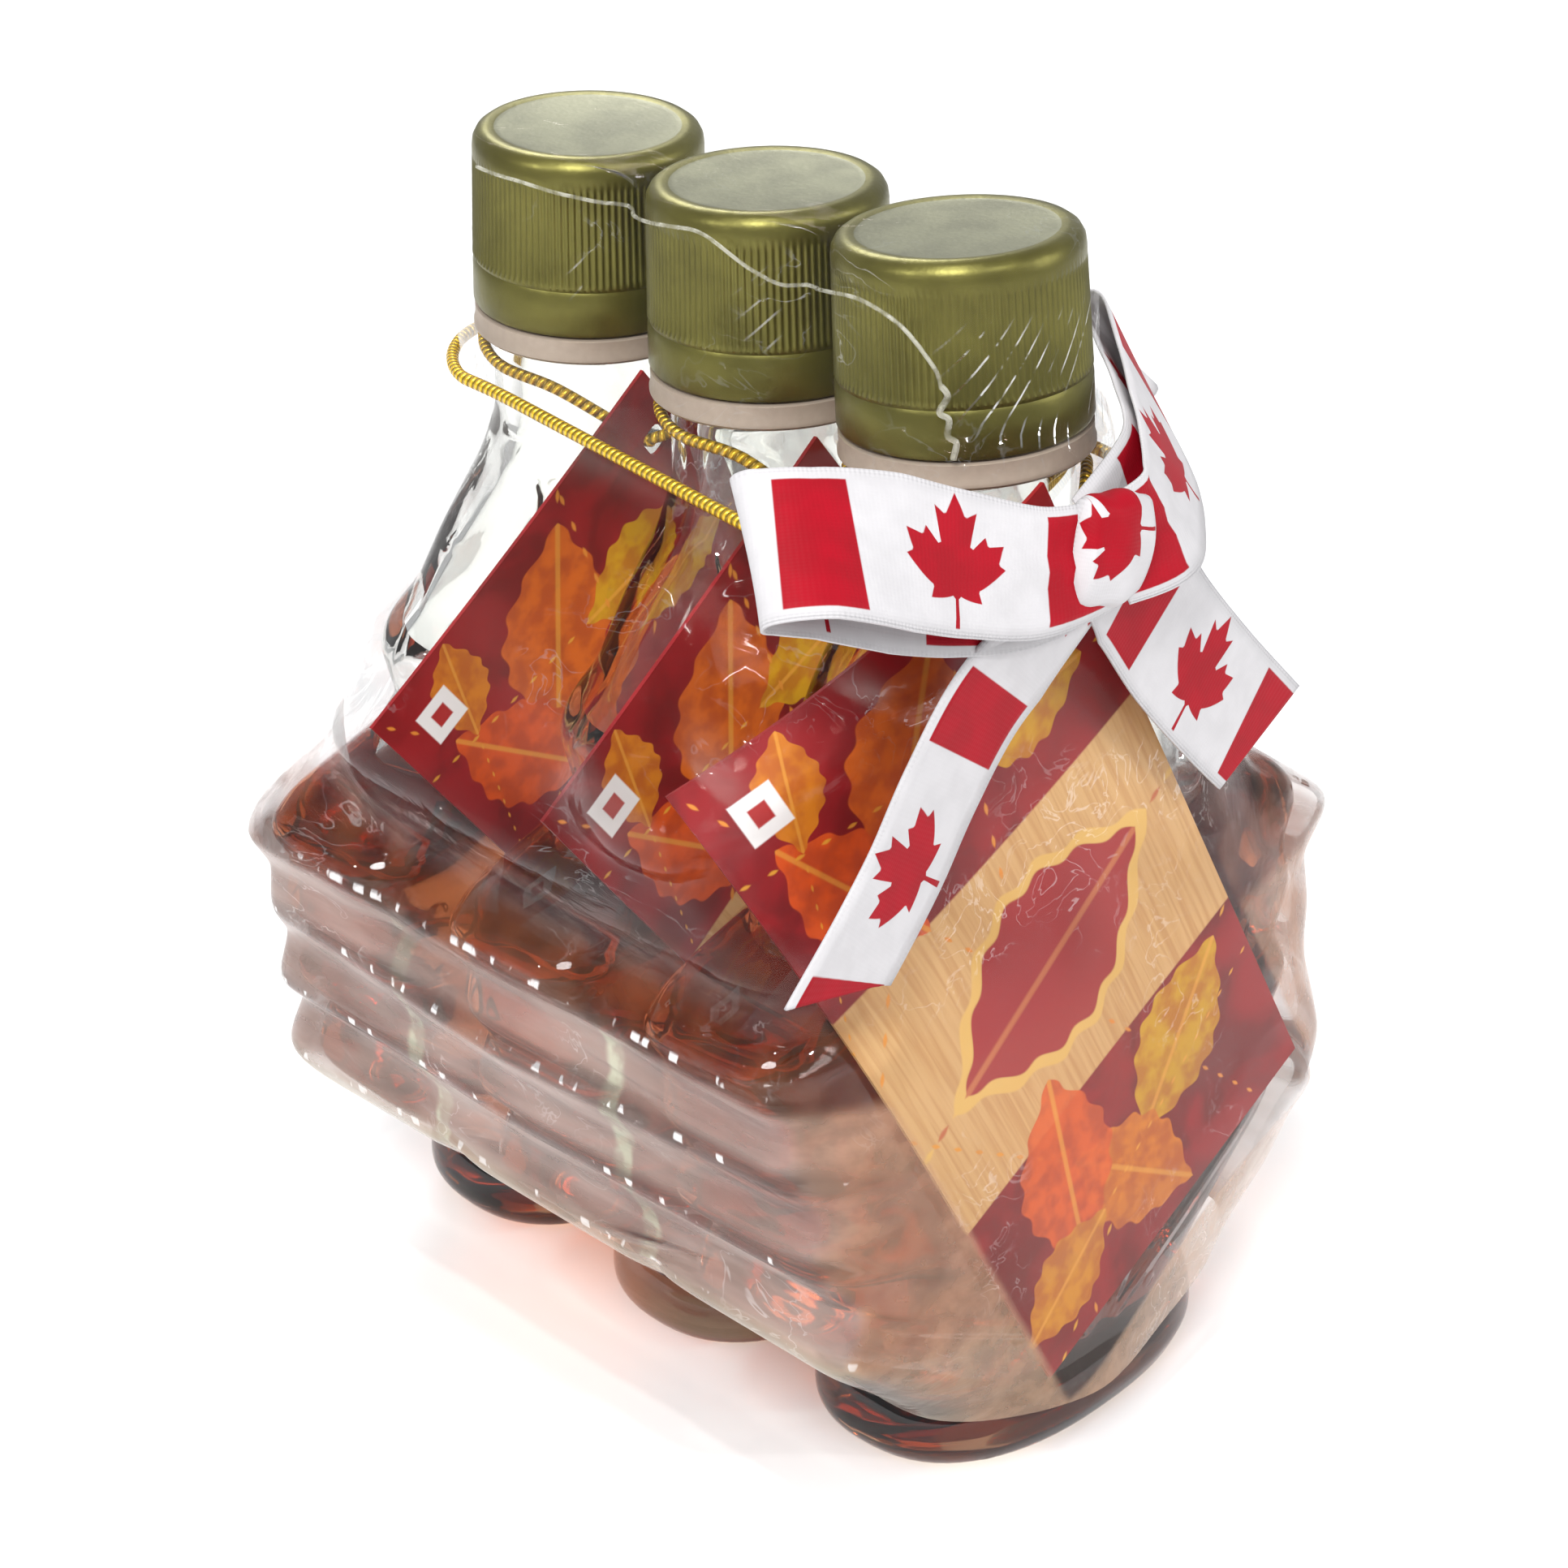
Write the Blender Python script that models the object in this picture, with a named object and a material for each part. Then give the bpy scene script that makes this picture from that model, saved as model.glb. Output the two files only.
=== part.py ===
"""Gift pack of three leaf-shaped glass bottles of syrup in clear shrink film with a ribbon bow.

Frame: X across the leaves, the front bottle towards -Y, Z up, origin on the floor under the
middle bottle. The two outer bottles lean inwards at the top, because the film pulls their caps
together. Lengths are in millimetres and become metres when a mesh is made.
"""
from math import cos, pi, radians, sin

import bmesh
import bpy
import numpy as np
from mathutils import Matrix, Vector

MM = 0.001
GAP = 0.3

# Bottles: distance between two feet, and how far each outer bottle leans inwards at the top
FOOT_PITCH = 29.0
LEAN_FRONT = radians(3.2)
LEAN_BACK = radians(2.8)
BOTTLE_SIDES = 20

# Half-width of the leaf at each height: foot, three pointed side lobes with notches between them,
# the widest lobe, the upper lobe, the small teeth under the neck, the neck and the mouth
LEAF_OUTLINE = (
    (0.0, 18.6), (0.6, 20.0), (2.4, 20.9), (5.4, 20.6), (8.2, 19.2), (14.0, 24.6), (19.6, 30.8),
    (22.4, 33.1), (24.0, 33.0), (28.0, 30.6), (33.0, 35.4), (37.4, 33.0), (41.8, 36.1),
    (46.6, 35.1), (51.0, 37.8), (53.0, 36.5), (57.0, 26.4), (60.4, 23.2), (67.4, 25.7), (69.4, 24.8),
    (71.6, 21.0), (76.4, 17.6), (82.4, 11.3), (86.4, 9.5), (94.5, 9.3), (94.8, 8.7), (112.0, 8.5),
)
# Half-depth, and the power that squares off the corners, at a few heights
DEPTH_STOPS = (
    (0.0, 12.0), (0.6, 13.3), (2.4, 14.0), (5.4, 13.8), (8.2, 12.6), (14.0, 12.8), (24.0, 13.0),
    (33.0, 12.8), (42.0, 12.5), (51.0, 12.1), (57.0, 11.5), (66.0, 10.8), (82.4, 10.3),
    (86.4, 9.5), (94.5, 9.3), (94.8, 8.7), (112.0, 8.5),
)
CORNER_STOPS = ((0.0, 2.4), (8.2, 2.5), (20.0, 4.2), (50.0, 4.4), (55.8, 2.7), (70.0, 2.2), (80.0, 2.0))
# Inside of the glass: the half-width and half-depth of the hollow, from the floor to the mouth
HOLLOW = (
    (3.8, 15.6, 9.6), (9.6, 17.0, 10.2), (19.0, 27.2, 10.6), (45.0, 31.8, 10.1), (50.6, 34.0, 9.7),
    (55.0, 27.6, 9.2), (59.4, 20.6, 8.6), (67.4, 22.0, 8.2), (82.4, 8.2, 7.7), (87.0, 6.7, 6.7),
    (112.0, 6.7, 6.7),
)
SYRUP_LEVEL = 55.6
SYRUP_GAP = 0.45

# Caps and the tamper rings under them
CAP_SIDES = 26
CAP_TOP = 114.4
CAP_BOTTOM = 97.6
CAP_RADIUS_TOP = 10.8
CAP_RADIUS_BOTTOM = 11.2
CAP_RIM = 1.9
CAP_BORE = 9.1
RING_BOTTOM = 94.9
RING_TOP = 97.3
RING_BORE = 9.7

# Cards: sides, thickness, and the punched hole measured from the corner that hangs from the neck
CARD_LONG = 75.5
CARD_SHORT = 41.8
CARD_THICK = 0.4
CARD_ACROSS = 13.3
CARD_ACROSS_HEIGHT = 50.0
CARD_SLOPE = 0.026
HOLE_ALONG = 6.5
HOLE_DOWN = 3.4
HOLE_SIZE = 2.6
HOLE_MARGIN = 0.7
# For each bottle: the hanging corner's place, the turn of the long side, and how far the free
# corner bends back
CARDS = {
    "front": ((-4.3, 95.6), radians(-64.8), 9.0),
    "middle": ((-7.0, 95.4), radians(-53.5), 1.0),
    "back": ((-5.0, 95.0), radians(-52.5), 1.5),
}
CARD_BEND_LENGTH = 50.0

# Gold elastic cords: one round each neck through the card's hole, one round the whole pack
CORD_DIAMETER = 1.1
NECK_LOOP_RADIUS = 10.4
NECK_LOOP_POINTS = 24
PACK_CORD_DIAMETER = 1.2
PACK_CORD_HEIGHT = 91.3

# Shrink film: thickness, clearance to what it wraps, and the heights of its rows
FILM_THICK = 0.35
FILM_CLEAR = 0.6
FILM_LOOSE = 1.8
FILM_LOOSE_BELOW = 24.0
# Directions of the film's upright edges, closer at the corners of the pack
FILM_QUARTER = np.radians((7.0, 22.0, 35.0, 41.5, 48.0, 57.5, 70.0, 83.0))
FILM_HALF = np.concatenate((FILM_QUARTER, pi - FILM_QUARTER[::-1]))
FILM_ANGLES = np.concatenate((FILM_HALF, FILM_HALF + pi))
FILM_DIRECTIONS = len(FILM_ANGLES)
FILM_ROWS = (
    105.0, 96.5, 91.3, 87.0, 82.0, 77.5, 73.0, 69.0, 64.0, 58.0, 51.2, 46.6, 42.0,
    37.6, 33.0, 28.0, 22.8,
)
FILM_EDGE_SIDE = 15.6
FILM_EDGE_FACE = 8.6
FILM_SHOULDER = 0.9
FILM_BAND = 1.3
FILM_TAUT_PASSES = 5
FILM_SAG = 0.9

# Ribbon of the bow
RIBBON_WIDTH = 12.7
RIBBON_THICK = 0.5
RIBBON_GATHER = 0.72
KNOT_CENTRE = (-6.9, -45.1, 94.3)
KNOT_SIZE = (8.0, 5.2, 9.6)
# Routes of the ribbon's middle line: out in front, round the tip and back behind
LEFT_LOOP = (
    (-6.0, -45.6, 93.8), (-14.8, -45.2, 94.9), (-22.8, -44.0, 98.0), (-29.8, -42.8, 101.2),
    (-35.8, -41.2, 103.3), (-39.2, -38.4, 103.2), (-38.6, -36.6, 101.6), (-34.4, -37.4, 99.9),
    (-28.6, -39.2, 97.8), (-21.6, -41.6, 95.2), (-14.4, -43.6, 93.4), (-6.0, -44.2, 93.4),
)
RIGHT_LOOP = (
    (-6.0, -45.6, 94.0), (2.5, -45.2, 94.2), (8.4, -41.6, 95.3), (12.6, -36.7, 96.8),
    (16.2, -31.2, 98.4), (19.2, -27.0, 99.6), (19.6, -25.0, 99.5), (17.6, -25.5, 98.6),
    (14.8, -29.4, 97.8), (11.7, -34.8, 96.6), (7.0, -40.4, 95.0), (-6.0, -44.2, 93.6),
)
LEFT_TAIL = (
    (-6.4, -44.4, 93.0), (-14.0, -44.0, 88.4), (-18.9, -42.6, 83.6), (-23.6, -42.1, 77.6),
    (-27.6, -42.0, 72.0), (-31.8, -42.0, 67.4), (-35.6, -42.0, 63.7),
)
RIGHT_TAIL = (
    (-6.0, -44.6, 93.2), (-1.0, -44.4, 89.2), (5.2, -43.2, 81.2), (12.6, -42.2, 73.0),
    (19.7, -41.6, 65.9),
)
# Direction across the ribbon: in the knot, at the tip of each loop and along each tail
KNOT_ACROSS = (0.14, -0.1, -0.985)
LEFT_TIP_ACROSS = (-0.40, -0.65, -0.64)
RIGHT_TIP_ACROSS = (0.446, -0.128, -0.883)
LEFT_TAIL_ACROSS = (0.73, 0.12, -0.67)
RIGHT_TAIL_ACROSS = (-0.734, -0.045, -0.677)
# Share of each loop's length over which the ribbon turns from the knot's direction to the tip's
LEFT_TURN = (0.0, 0.36)
RIGHT_TURN = (0.26, 0.44)


def clear_scene():
    for obj in list(bpy.data.objects):
        bpy.data.objects.remove(obj, do_unlink=True)


def material(name, colour, roughness, metallic=0.0, alpha=1.0):
    mat = bpy.data.materials.new(name)
    mat.use_nodes = True
    shader = mat.node_tree.nodes["Principled BSDF"]
    shader.inputs["Base Color"].default_value = (*colour, 1.0)
    shader.inputs["Roughness"].default_value = roughness
    shader.inputs["Metallic"].default_value = metallic
    shader.inputs["Alpha"].default_value = alpha
    return mat


def add_object(name, bm, mat, parent=None, sharp=35.0):
    """Turn a bmesh in millimetres into a smooth-shaded object in metres."""
    bmesh.ops.scale(bm, vec=(MM, MM, MM), verts=bm.verts)
    bmesh.ops.recalc_face_normals(bm, faces=bm.faces)
    mesh = bpy.data.meshes.new(name)
    bm.to_mesh(mesh)
    bm.free()
    mesh.shade_smooth()
    mesh.set_sharp_from_angle(angle=radians(sharp))
    mesh.materials.append(mat)
    obj = bpy.data.objects.new(name, mesh)
    obj.parent = parent
    bpy.context.scene.collection.objects.link(obj)
    return obj


def between(height, stops):
    """Value at a height, on straight lines between the stops."""
    heights = [stop[0] for stop in stops]
    return float(np.interp(height, heights, [stop[1] for stop in stops]))


def rounded_box(half_width, half_depth, power, sides):
    """Points of a superellipse: power 2 is an ellipse, more is a box with round corners."""
    points = []
    for i in range(sides):
        angle = 2.0 * pi * (i + 0.5) / sides
        c, s = cos(angle), sin(angle)
        x = half_width * abs(c) ** (2.0 / power) * (1 if c > 0 else -1)
        y = half_depth * abs(s) ** (2.0 / power) * (1 if s > 0 else -1)
        points.append((x, y))
    return points


def loft(bm, rings, close_ends=True):
    """Skin over closed rings of points, one after the other, with the first and the last filled."""
    loops = [[bm.verts.new(point) for point in ring] for ring in rings]
    for lower, upper in zip(loops, loops[1:]):
        for i in range(len(lower)):
            bm.faces.new((lower[i - 1], lower[i], upper[i], upper[i - 1]))
    if close_ends:
        bm.faces.new(loops[0])
        bm.faces.new(loops[-1])


def section(height, half_width, half_depth, power, sides=BOTTLE_SIDES):
    return [(x, y, height) for x, y in rounded_box(half_width, half_depth, power, sides)]


def turned(bm, profile, sides):
    """Solid of revolution about Z from (radius, height) points, closed or from axis to axis."""
    verts = [bm.verts.new((radius, 0.0, height)) for radius, height in profile]
    first = 1 if profile[0][0] == 0.0 else 0
    edges = [bm.edges.new((verts[i - 1], verts[i])) for i in range(first, len(verts))]
    bmesh.ops.spin(bm, geom=verts + edges, cent=(0, 0, 0), axis=(0, 0, 1), angle=2.0 * pi,
                   steps=sides, use_merge=True)
    bmesh.ops.remove_doubles(bm, verts=bm.verts, dist=0.001)


def hollow_section(height, half_width, half_depth, shrink=0.0):
    power = between(height, CORNER_STOPS)
    return section(height, half_width - shrink, half_depth - shrink, power)


def bottle(name, mat, holder):
    bm = bmesh.new()
    outer = [section(z, w, between(z, DEPTH_STOPS), between(z, CORNER_STOPS)) for z, w in LEAF_OUTLINE]
    inner = [hollow_section(*row) for row in reversed(HOLLOW)]
    loft(bm, outer + inner)
    return add_object(name, bm, mat, holder)


def syrup(name, mat, holder, lean):
    """What fills the hollow, up to a level surface in the leaning bottle."""
    bm = bmesh.new()
    rows = [row for row in HOLLOW if row[0] < SYRUP_LEVEL + 6.0]
    rings = [hollow_section(z, w, d, SYRUP_GAP) for z, w, d in rows]
    rings[0] = [(x, y, z + SYRUP_GAP) for x, y, z in rings[0]]
    loft(bm, rings)
    up = Matrix.Rotation(-lean, 3, "X") @ Vector((0, 0, 1))
    everything = list(bm.verts) + list(bm.edges) + list(bm.faces)
    cut = bmesh.ops.bisect_plane(bm, geom=everything, plane_co=(0, 0, SYRUP_LEVEL), plane_no=up,
                                 clear_outer=True)
    rim = [item for item in cut["geom_cut"] if isinstance(item, bmesh.types.BMEdge)]
    bmesh.ops.edgeloop_fill(bm, edges=rim)
    return add_object(name, bm, mat, holder)


def cap(name, mat, holder):
    bm = bmesh.new()
    turned(bm, (
        (0.0, CAP_TOP - 0.15), (CAP_RADIUS_TOP - 2.2, CAP_TOP - 0.15), (CAP_RADIUS_TOP - 1.5, CAP_TOP),
        (CAP_RADIUS_TOP - 0.5, CAP_TOP - 0.4), (CAP_RADIUS_TOP, CAP_TOP - CAP_RIM),
        (CAP_RADIUS_BOTTOM, CAP_BOTTOM + 1.8), (CAP_RADIUS_BOTTOM, CAP_BOTTOM),
        (CAP_BORE, CAP_BOTTOM), (CAP_BORE, CAP_TOP - 2.0), (0.0, CAP_TOP - 2.0),
    ), CAP_SIDES)
    return add_object(name, bm, mat, holder)


def tamper_ring(name, mat, holder):
    bm = bmesh.new()
    turned(bm, (
        (RING_BORE, RING_TOP), (CAP_RADIUS_BOTTOM - 0.2, RING_TOP), (CAP_RADIUS_BOTTOM, RING_TOP - 0.3),
        (CAP_RADIUS_BOTTOM, RING_BOTTOM + 0.4), (CAP_RADIUS_BOTTOM - 0.4, RING_BOTTOM),
        (RING_BORE, RING_BOTTOM),
    ), CAP_SIDES)
    return add_object(name, bm, mat, holder)


def card_point(which, along, down, outwards=0.0):
    """Point of a card from its hanging corner: along the long side, down the short side."""
    (corner_x, corner_z), turn, bend = CARDS[which]
    free = (down / CARD_SHORT) ** 2 * max(0.0, 1.0 - along / CARD_BEND_LENGTH) ** 2
    down = down * (1.0 - 0.03 * free * bend / 9.0)
    x = corner_x + along * cos(turn) + down * cos(turn - pi / 2)
    z = corner_z + along * sin(turn) + down * sin(turn - pi / 2)
    y = -CARD_ACROSS + CARD_SLOPE * (z - CARD_ACROSS_HEIGHT) + bend * free
    return Vector((x, y - outwards, z))


def card(name, which, mat, holder):
    """Card with a punched hole, curved back at the corner that the film pulls on."""
    bm = bmesh.new()
    half = HOLE_SIZE / 2 + HOLE_MARGIN
    along = (0.0, HOLE_ALONG - half, HOLE_ALONG + half, 17.0, 27.0, 39.0, 51.0, CARD_LONG)
    down = (0.0, HOLE_DOWN - half, HOLE_DOWN + half, 14.0, 23.0, 32.0, CARD_SHORT)
    grid = [[bm.verts.new(card_point(which, a, d)) for d in down] for a in along]
    cells = {}
    for i in range(len(along) - 1):
        for j in range(len(down) - 1):
            cells[i, j] = bm.faces.new((grid[i][j], grid[i + 1][j], grid[i + 1][j + 1], grid[i][j + 1]))
    punched = cells[1, 1]
    bm.normal_update()
    bmesh.ops.inset_individual(bm, faces=[punched], thickness=HOLE_MARGIN, use_even_offset=True)
    bmesh.ops.bevel(bm, geom=list(punched.verts), offset=HOLE_SIZE * 0.29, affect="VERTICES",
                    segments=1, profile=0.5, material=-1)
    centre = card_point(which, HOLE_ALONG, HOLE_DOWN)
    hole = min(bm.faces, key=lambda face: (face.calc_center_median() - centre).length)
    bmesh.ops.delete(bm, geom=[hole], context="FACES")
    bmesh.ops.triangulate(bm, faces=bm.faces)
    bmesh.ops.recalc_face_normals(bm, faces=bm.faces)
    bmesh.ops.solidify(bm, geom=list(bm.faces), thickness=CARD_THICK)
    return add_object(name, bm, mat, holder)


def smooth_route(points, count, closed):
    """Points of a Catmull-Rom curve through the route's own points."""
    points = [Vector(p) for p in points]
    spans = len(points) if closed else len(points) - 1
    result = []
    for k in range(count):
        t = k * spans / (count if closed else count - 1)
        i = min(int(t), spans - 1)
        f = t - i
        if closed:
            p0, p1, p2, p3 = (points[(i + n) % len(points)] for n in (-1, 0, 1, 2))
        else:
            p0, p1, p2, p3 = (points[min(max(i + n, 0), len(points) - 1)] for n in (-1, 0, 1, 2))
        result.append(0.5 * (2 * p1 + (p2 - p0) * f + (2 * p0 - 5 * p1 + 4 * p2 - p3) * f * f
                             + (3 * p1 - p0 - 3 * p2 + p3) * f ** 3))
    return result


def cord_loop(name, points, diameter, mat, parent=None):
    """Closed cord along a list of points."""
    curve = bpy.data.curves.new(name, "CURVE")
    curve.dimensions = "3D"
    curve.bevel_depth = diameter / 2 * MM
    curve.bevel_resolution = 2
    curve.use_fill_caps = True
    spline = curve.splines.new("POLY")
    spline.points.add(len(points) - 1)
    for target, point in zip(spline.points, points):
        target.co = (*(point * MM), 1.0)
    spline.use_cyclic_u = True
    curve.materials.append(mat)
    obj = bpy.data.objects.new(name, curve)
    obj.parent = parent
    bpy.context.scene.collection.objects.link(obj)
    return obj


def neck_cord(name, which, mat, holder):
    """Elastic round a neck: down to the card, out through its hole and back over its top edge."""
    r = NECK_LOOP_RADIUS
    reach = CARD_THICK / 2 + GAP + CORD_DIAMETER / 2 + 0.1
    hole = card_point(which, HOLE_ALONG, HOLE_DOWN)
    behind = card_point(which, HOLE_ALONG, HOLE_DOWN + 0.4, -1.3)
    before = card_point(which, HOLE_ALONG, HOLE_DOWN - 1.7, reach + 0.25)
    over = card_point(which, HOLE_ALONG, -1.6, 0.1)
    round_neck = [(-r * sin(a), r * cos(a), 93.6 - 1.6 * (a / 2.1) ** 2) for a in (0.0, 0.7, 1.4, 2.1)]
    back_again = [(r * sin(a), -r * cos(a), 92.6) for a in (0.5, 1.1, 1.8, 2.5)]
    route = round_neck + [behind, hole, before, over] + back_again
    return cord_loop(name, smooth_route(route, NECK_LOOP_POINTS, True), CORD_DIAMETER, mat, holder)


def wrapped_points(objects):
    """Points round every edge of the objects at the film's clearance, in millimetres."""
    bpy.context.view_layer.update()
    graph = bpy.context.evaluated_depsgraph_get()
    sides = np.array([(cos(a), sin(a), 0.0) for a in np.radians(range(0, 360, 45))])
    result = []
    for obj in objects:
        evaluated = obj.evaluated_get(graph)
        mesh = evaluated.to_mesh()
        corners = [obj.matrix_world @ v.co / MM for v in mesh.vertices]
        points = []
        for edge in mesh.edges:
            a, b = (corners[i] for i in edge.vertices)
            steps = max(1, int((b - a).length / 2.0))
            points.extend(a.lerp(b, k / steps) for k in range(steps + 1))
        evaluated.to_mesh_clear()
        points = np.array(points)
        stiff = obj.type == "MESH" and min(obj.dimensions) < 16.0 * MM
        loose = np.where((points[:, 2] < FILM_LOOSE_BELOW) | stiff, FILM_LOOSE, FILM_CLEAR)[:, None]
        result += [points + loose * side for side in sides]
    return np.concatenate(result)


def film_heights(top):
    """Height of every film point by row and direction: the lower edge is cut higher at the sides."""
    side = np.abs(np.cos(FILM_ANGLES)) ** 1.5
    edge = FILM_EDGE_FACE + (FILM_EDGE_SIDE - FILM_EDGE_FACE) * side
    rows = [np.full(FILM_DIRECTIONS, height) for height in (top - FILM_SHOULDER,) + FILM_ROWS]
    return np.array(rows + [(edge + FILM_ROWS[-1]) / 2, edge])


def first_radii(points, heights):
    """Radius of every film point on straight lines drawn round what lies at its height."""
    normals = np.radians(np.arange(0, 360, 5))
    spread = np.cos(normals[:, None] - FILM_ANGLES[None, :])
    facing = np.where(spread > 0.1, spread, np.nan)
    outwards = np.array([np.cos(normals), np.sin(normals)])
    rows = []
    for height in heights.mean(axis=1):
        level = points[np.abs(points[:, 2] - height) < FILM_BAND]
        support = (level[:, :2] @ outwards).max(axis=0)
        rows.append(np.nanmin(support[:, None] / facing, axis=0))
    return np.array(rows)


def lifted_clear(radii, points, heights):
    """Move the skin outwards where it comes too close to the points inside it."""
    reach = np.hypot(points[:, 0], points[:, 1])
    angle = np.arctan2(points[:, 1], points[:, 0]) % (2 * pi)
    left = (np.searchsorted(FILM_ANGLES, angle) - 1) % FILM_DIRECTIONS
    right = (left + 1) % FILM_DIRECTIONS
    gap = (FILM_ANGLES[right] - FILM_ANGLES[left]) % (2 * pi)
    turn = (angle - FILM_ANGLES[left]) % (2 * pi)
    share = turn / gap
    local = heights[:, left] * (1 - share) + heights[:, right] * share
    inside = points[:, 2] > local[-1] - 0.5
    row = np.clip((local > points[:, 2]).sum(axis=0) - 1, 0, len(heights) - 2)
    every = np.arange(len(points))
    upper, lower = local[row, every], local[row + 1, every]
    down = np.clip((upper - points[:, 2]) / (upper - lower), 0.0, 1.0)
    near = np.sin(gap - turn) / np.sin(gap)
    far = np.sin(turn) / np.sin(gap)
    corners = ((row, left, (1 - down) * near), (row, right, (1 - down) * far),
               (row + 1, left, down * near), (row + 1, right, down * far))
    total = sum(weight ** 2 for _, _, weight in corners)
    for _ in range(60):
        skin = 1.0 / sum(weight / radii[j, k] for j, k, weight in corners)
        short = np.where(inside, np.maximum(reach / skin - 1.0, 0.0), 0.0) / total
        lift = np.zeros(radii.shape)
        for j, k, weight in corners:
            np.maximum.at(lift, (j, k), short * weight)
        radii = radii * (1.0 + 0.4 * lift)
    return radii


def drawn_taut(radii, heights):
    """Take the hollows out of the skin, round it and down it, but not at the elastic."""
    free = np.abs(heights[1:-1] - PACK_CORD_HEIGHT) > 1.0
    for _ in range(FILM_TAUT_PASSES):
        taut = (radii[:-2] + radii[2:]) / 2 - FILM_SAG
        radii[1:-1] = np.where(free, np.maximum(radii[1:-1], taut), radii[1:-1])
        drawn = radii.copy()
        for a in range(1, 8):
            for b in range(1, 8):
                before = (FILM_ANGLES - np.roll(FILM_ANGLES, a)) % (2 * pi)
                after = (np.roll(FILM_ANGLES, -b) - FILM_ANGLES) % (2 * pi)
                one, other = np.roll(radii, a, axis=1), np.roll(radii, -b, axis=1)
                sines = one * np.sin(before) + other * np.sin(after)
                chord = one * other * np.sin(before + after) / sines
                drawn = np.maximum(drawn, chord)
        radii = drawn
    return radii


def film_ring(radii, heights, row, extra=0.0, height=None):
    """Outline of the film at one row, grown by an extra distance."""
    ring = np.array((radii[row] * np.cos(FILM_ANGLES), radii[row] * np.sin(FILM_ANGLES)))
    along = np.roll(ring, -1, axis=1) - np.roll(ring, 1, axis=1)
    ring = ring + extra * np.array((along[1], -along[0])) / np.hypot(*along)
    levels = heights[row] if height is None else np.full(FILM_DIRECTIONS, height)
    return [Vector(point) for point in zip(*ring, levels)]


def film(name, mat, radii, heights, top):
    """Thin skin over the caps and down the sides, open round the feet."""
    rings = [film_ring(radii, heights, row) for row in range(len(heights))]
    crown = film_ring(radii, heights, 0, -1.3, top)
    bm = bmesh.new()
    loft(bm, [crown] + rings, close_ends=False)
    bm.verts.ensure_lookup_table()
    bm.faces.new(bm.verts[:FILM_DIRECTIONS])
    obj = add_object(name, bm, mat)
    wall = obj.modifiers.new("wall", "SOLIDIFY")
    wall.thickness = FILM_THICK * MM
    wall.offset = 1.0
    return obj


def pack_cord(name, mat, radii, heights):
    """Elastic drawn round the film just below the caps."""
    row = FILM_ROWS.index(PACK_CORD_HEIGHT) + 1
    beside = FILM_THICK + GAP + PACK_CORD_DIAMETER / 2 + 0.2
    ring = film_ring(radii, heights, row, beside, PACK_CORD_HEIGHT + 1.0)
    return cord_loop(name, ring, PACK_CORD_DIAMETER, mat)


def ribbon_piece(name, route, count, across, turn, mat, slant=0.0):
    """Strip of ribbon along a route from the knot. It is gathered where it enters the knot."""
    centre = smooth_route(route, count, False)
    start, far = Vector(KNOT_ACROSS if turn else across), Vector(across)
    rings = []
    for i, point in enumerate(centre):
        t = i / (count - 1)
        from_knot = min(t, 1.0 - t) if turn else t
        open_share = min(1.0, from_knot / 0.25)
        ahead = (centre[min(i + 1, count - 1)] - centre[max(i - 1, 0)]).normalized()
        turned_share = float(np.interp(from_knot, turn, (0.0, 1.0))) if turn else 1.0
        side = start.lerp(far, turned_share)
        side = (side - ahead * side.dot(ahead)).normalized()
        face = ahead.cross(side) * RIBBON_THICK / 2
        half = side * RIBBON_WIDTH / 2 * (RIBBON_GATHER + (1.0 - RIBBON_GATHER) * open_share)
        cut = ahead * slant if i == count - 1 else Vector()
        rings.append([point - half - face - cut, point + half - face + cut,
                      point + half + face + cut, point - half + face - cut])
    bm = bmesh.new()
    loft(bm, rings)
    return add_object(name, bm, mat)


def bow(name, mat):
    """One ribbon tied into a bow: two loops and two tails joined to the knot."""
    bm = bmesh.new()
    bmesh.ops.create_cube(bm, size=1.0)
    bmesh.ops.scale(bm, vec=KNOT_SIZE, verts=bm.verts)
    bmesh.ops.bevel(bm, geom=list(bm.edges), offset=2.2, segments=2, profile=0.5, affect="EDGES",
                    material=-1)
    tilt = Matrix.Rotation(radians(14.0), 3, "Y")
    bmesh.ops.rotate(bm, cent=(0, 0, 0), matrix=tilt, verts=bm.verts)
    bmesh.ops.translate(bm, vec=KNOT_CENTRE, verts=bm.verts)
    knot = add_object(name, bm, mat)
    strips = (
        ribbon_piece("loop_left", LEFT_LOOP, 27, LEFT_TIP_ACROSS, LEFT_TURN, mat),
        ribbon_piece("loop_right", RIGHT_LOOP, 27, RIGHT_TIP_ACROSS, RIGHT_TURN, mat),
        ribbon_piece("tail_left", LEFT_TAIL, 8, LEFT_TAIL_ACROSS, None, mat, -3.5),
        ribbon_piece("tail_right", RIGHT_TAIL, 9, RIGHT_TAIL_ACROSS, None, mat, -2.5),
    )
    for strip in strips:
        join = knot.modifiers.new(strip.name, "BOOLEAN")
        join.operation = "UNION"
        join.object = strip
        join.solver = "MANIFOLD"
    bpy.context.view_layer.update()
    joined = bpy.data.meshes.new_from_object(knot.evaluated_get(bpy.context.evaluated_depsgraph_get()))
    knot.modifiers.clear()
    knot.data = joined
    for strip in strips:
        bpy.data.objects.remove(strip, do_unlink=True)
    return knot


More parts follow.
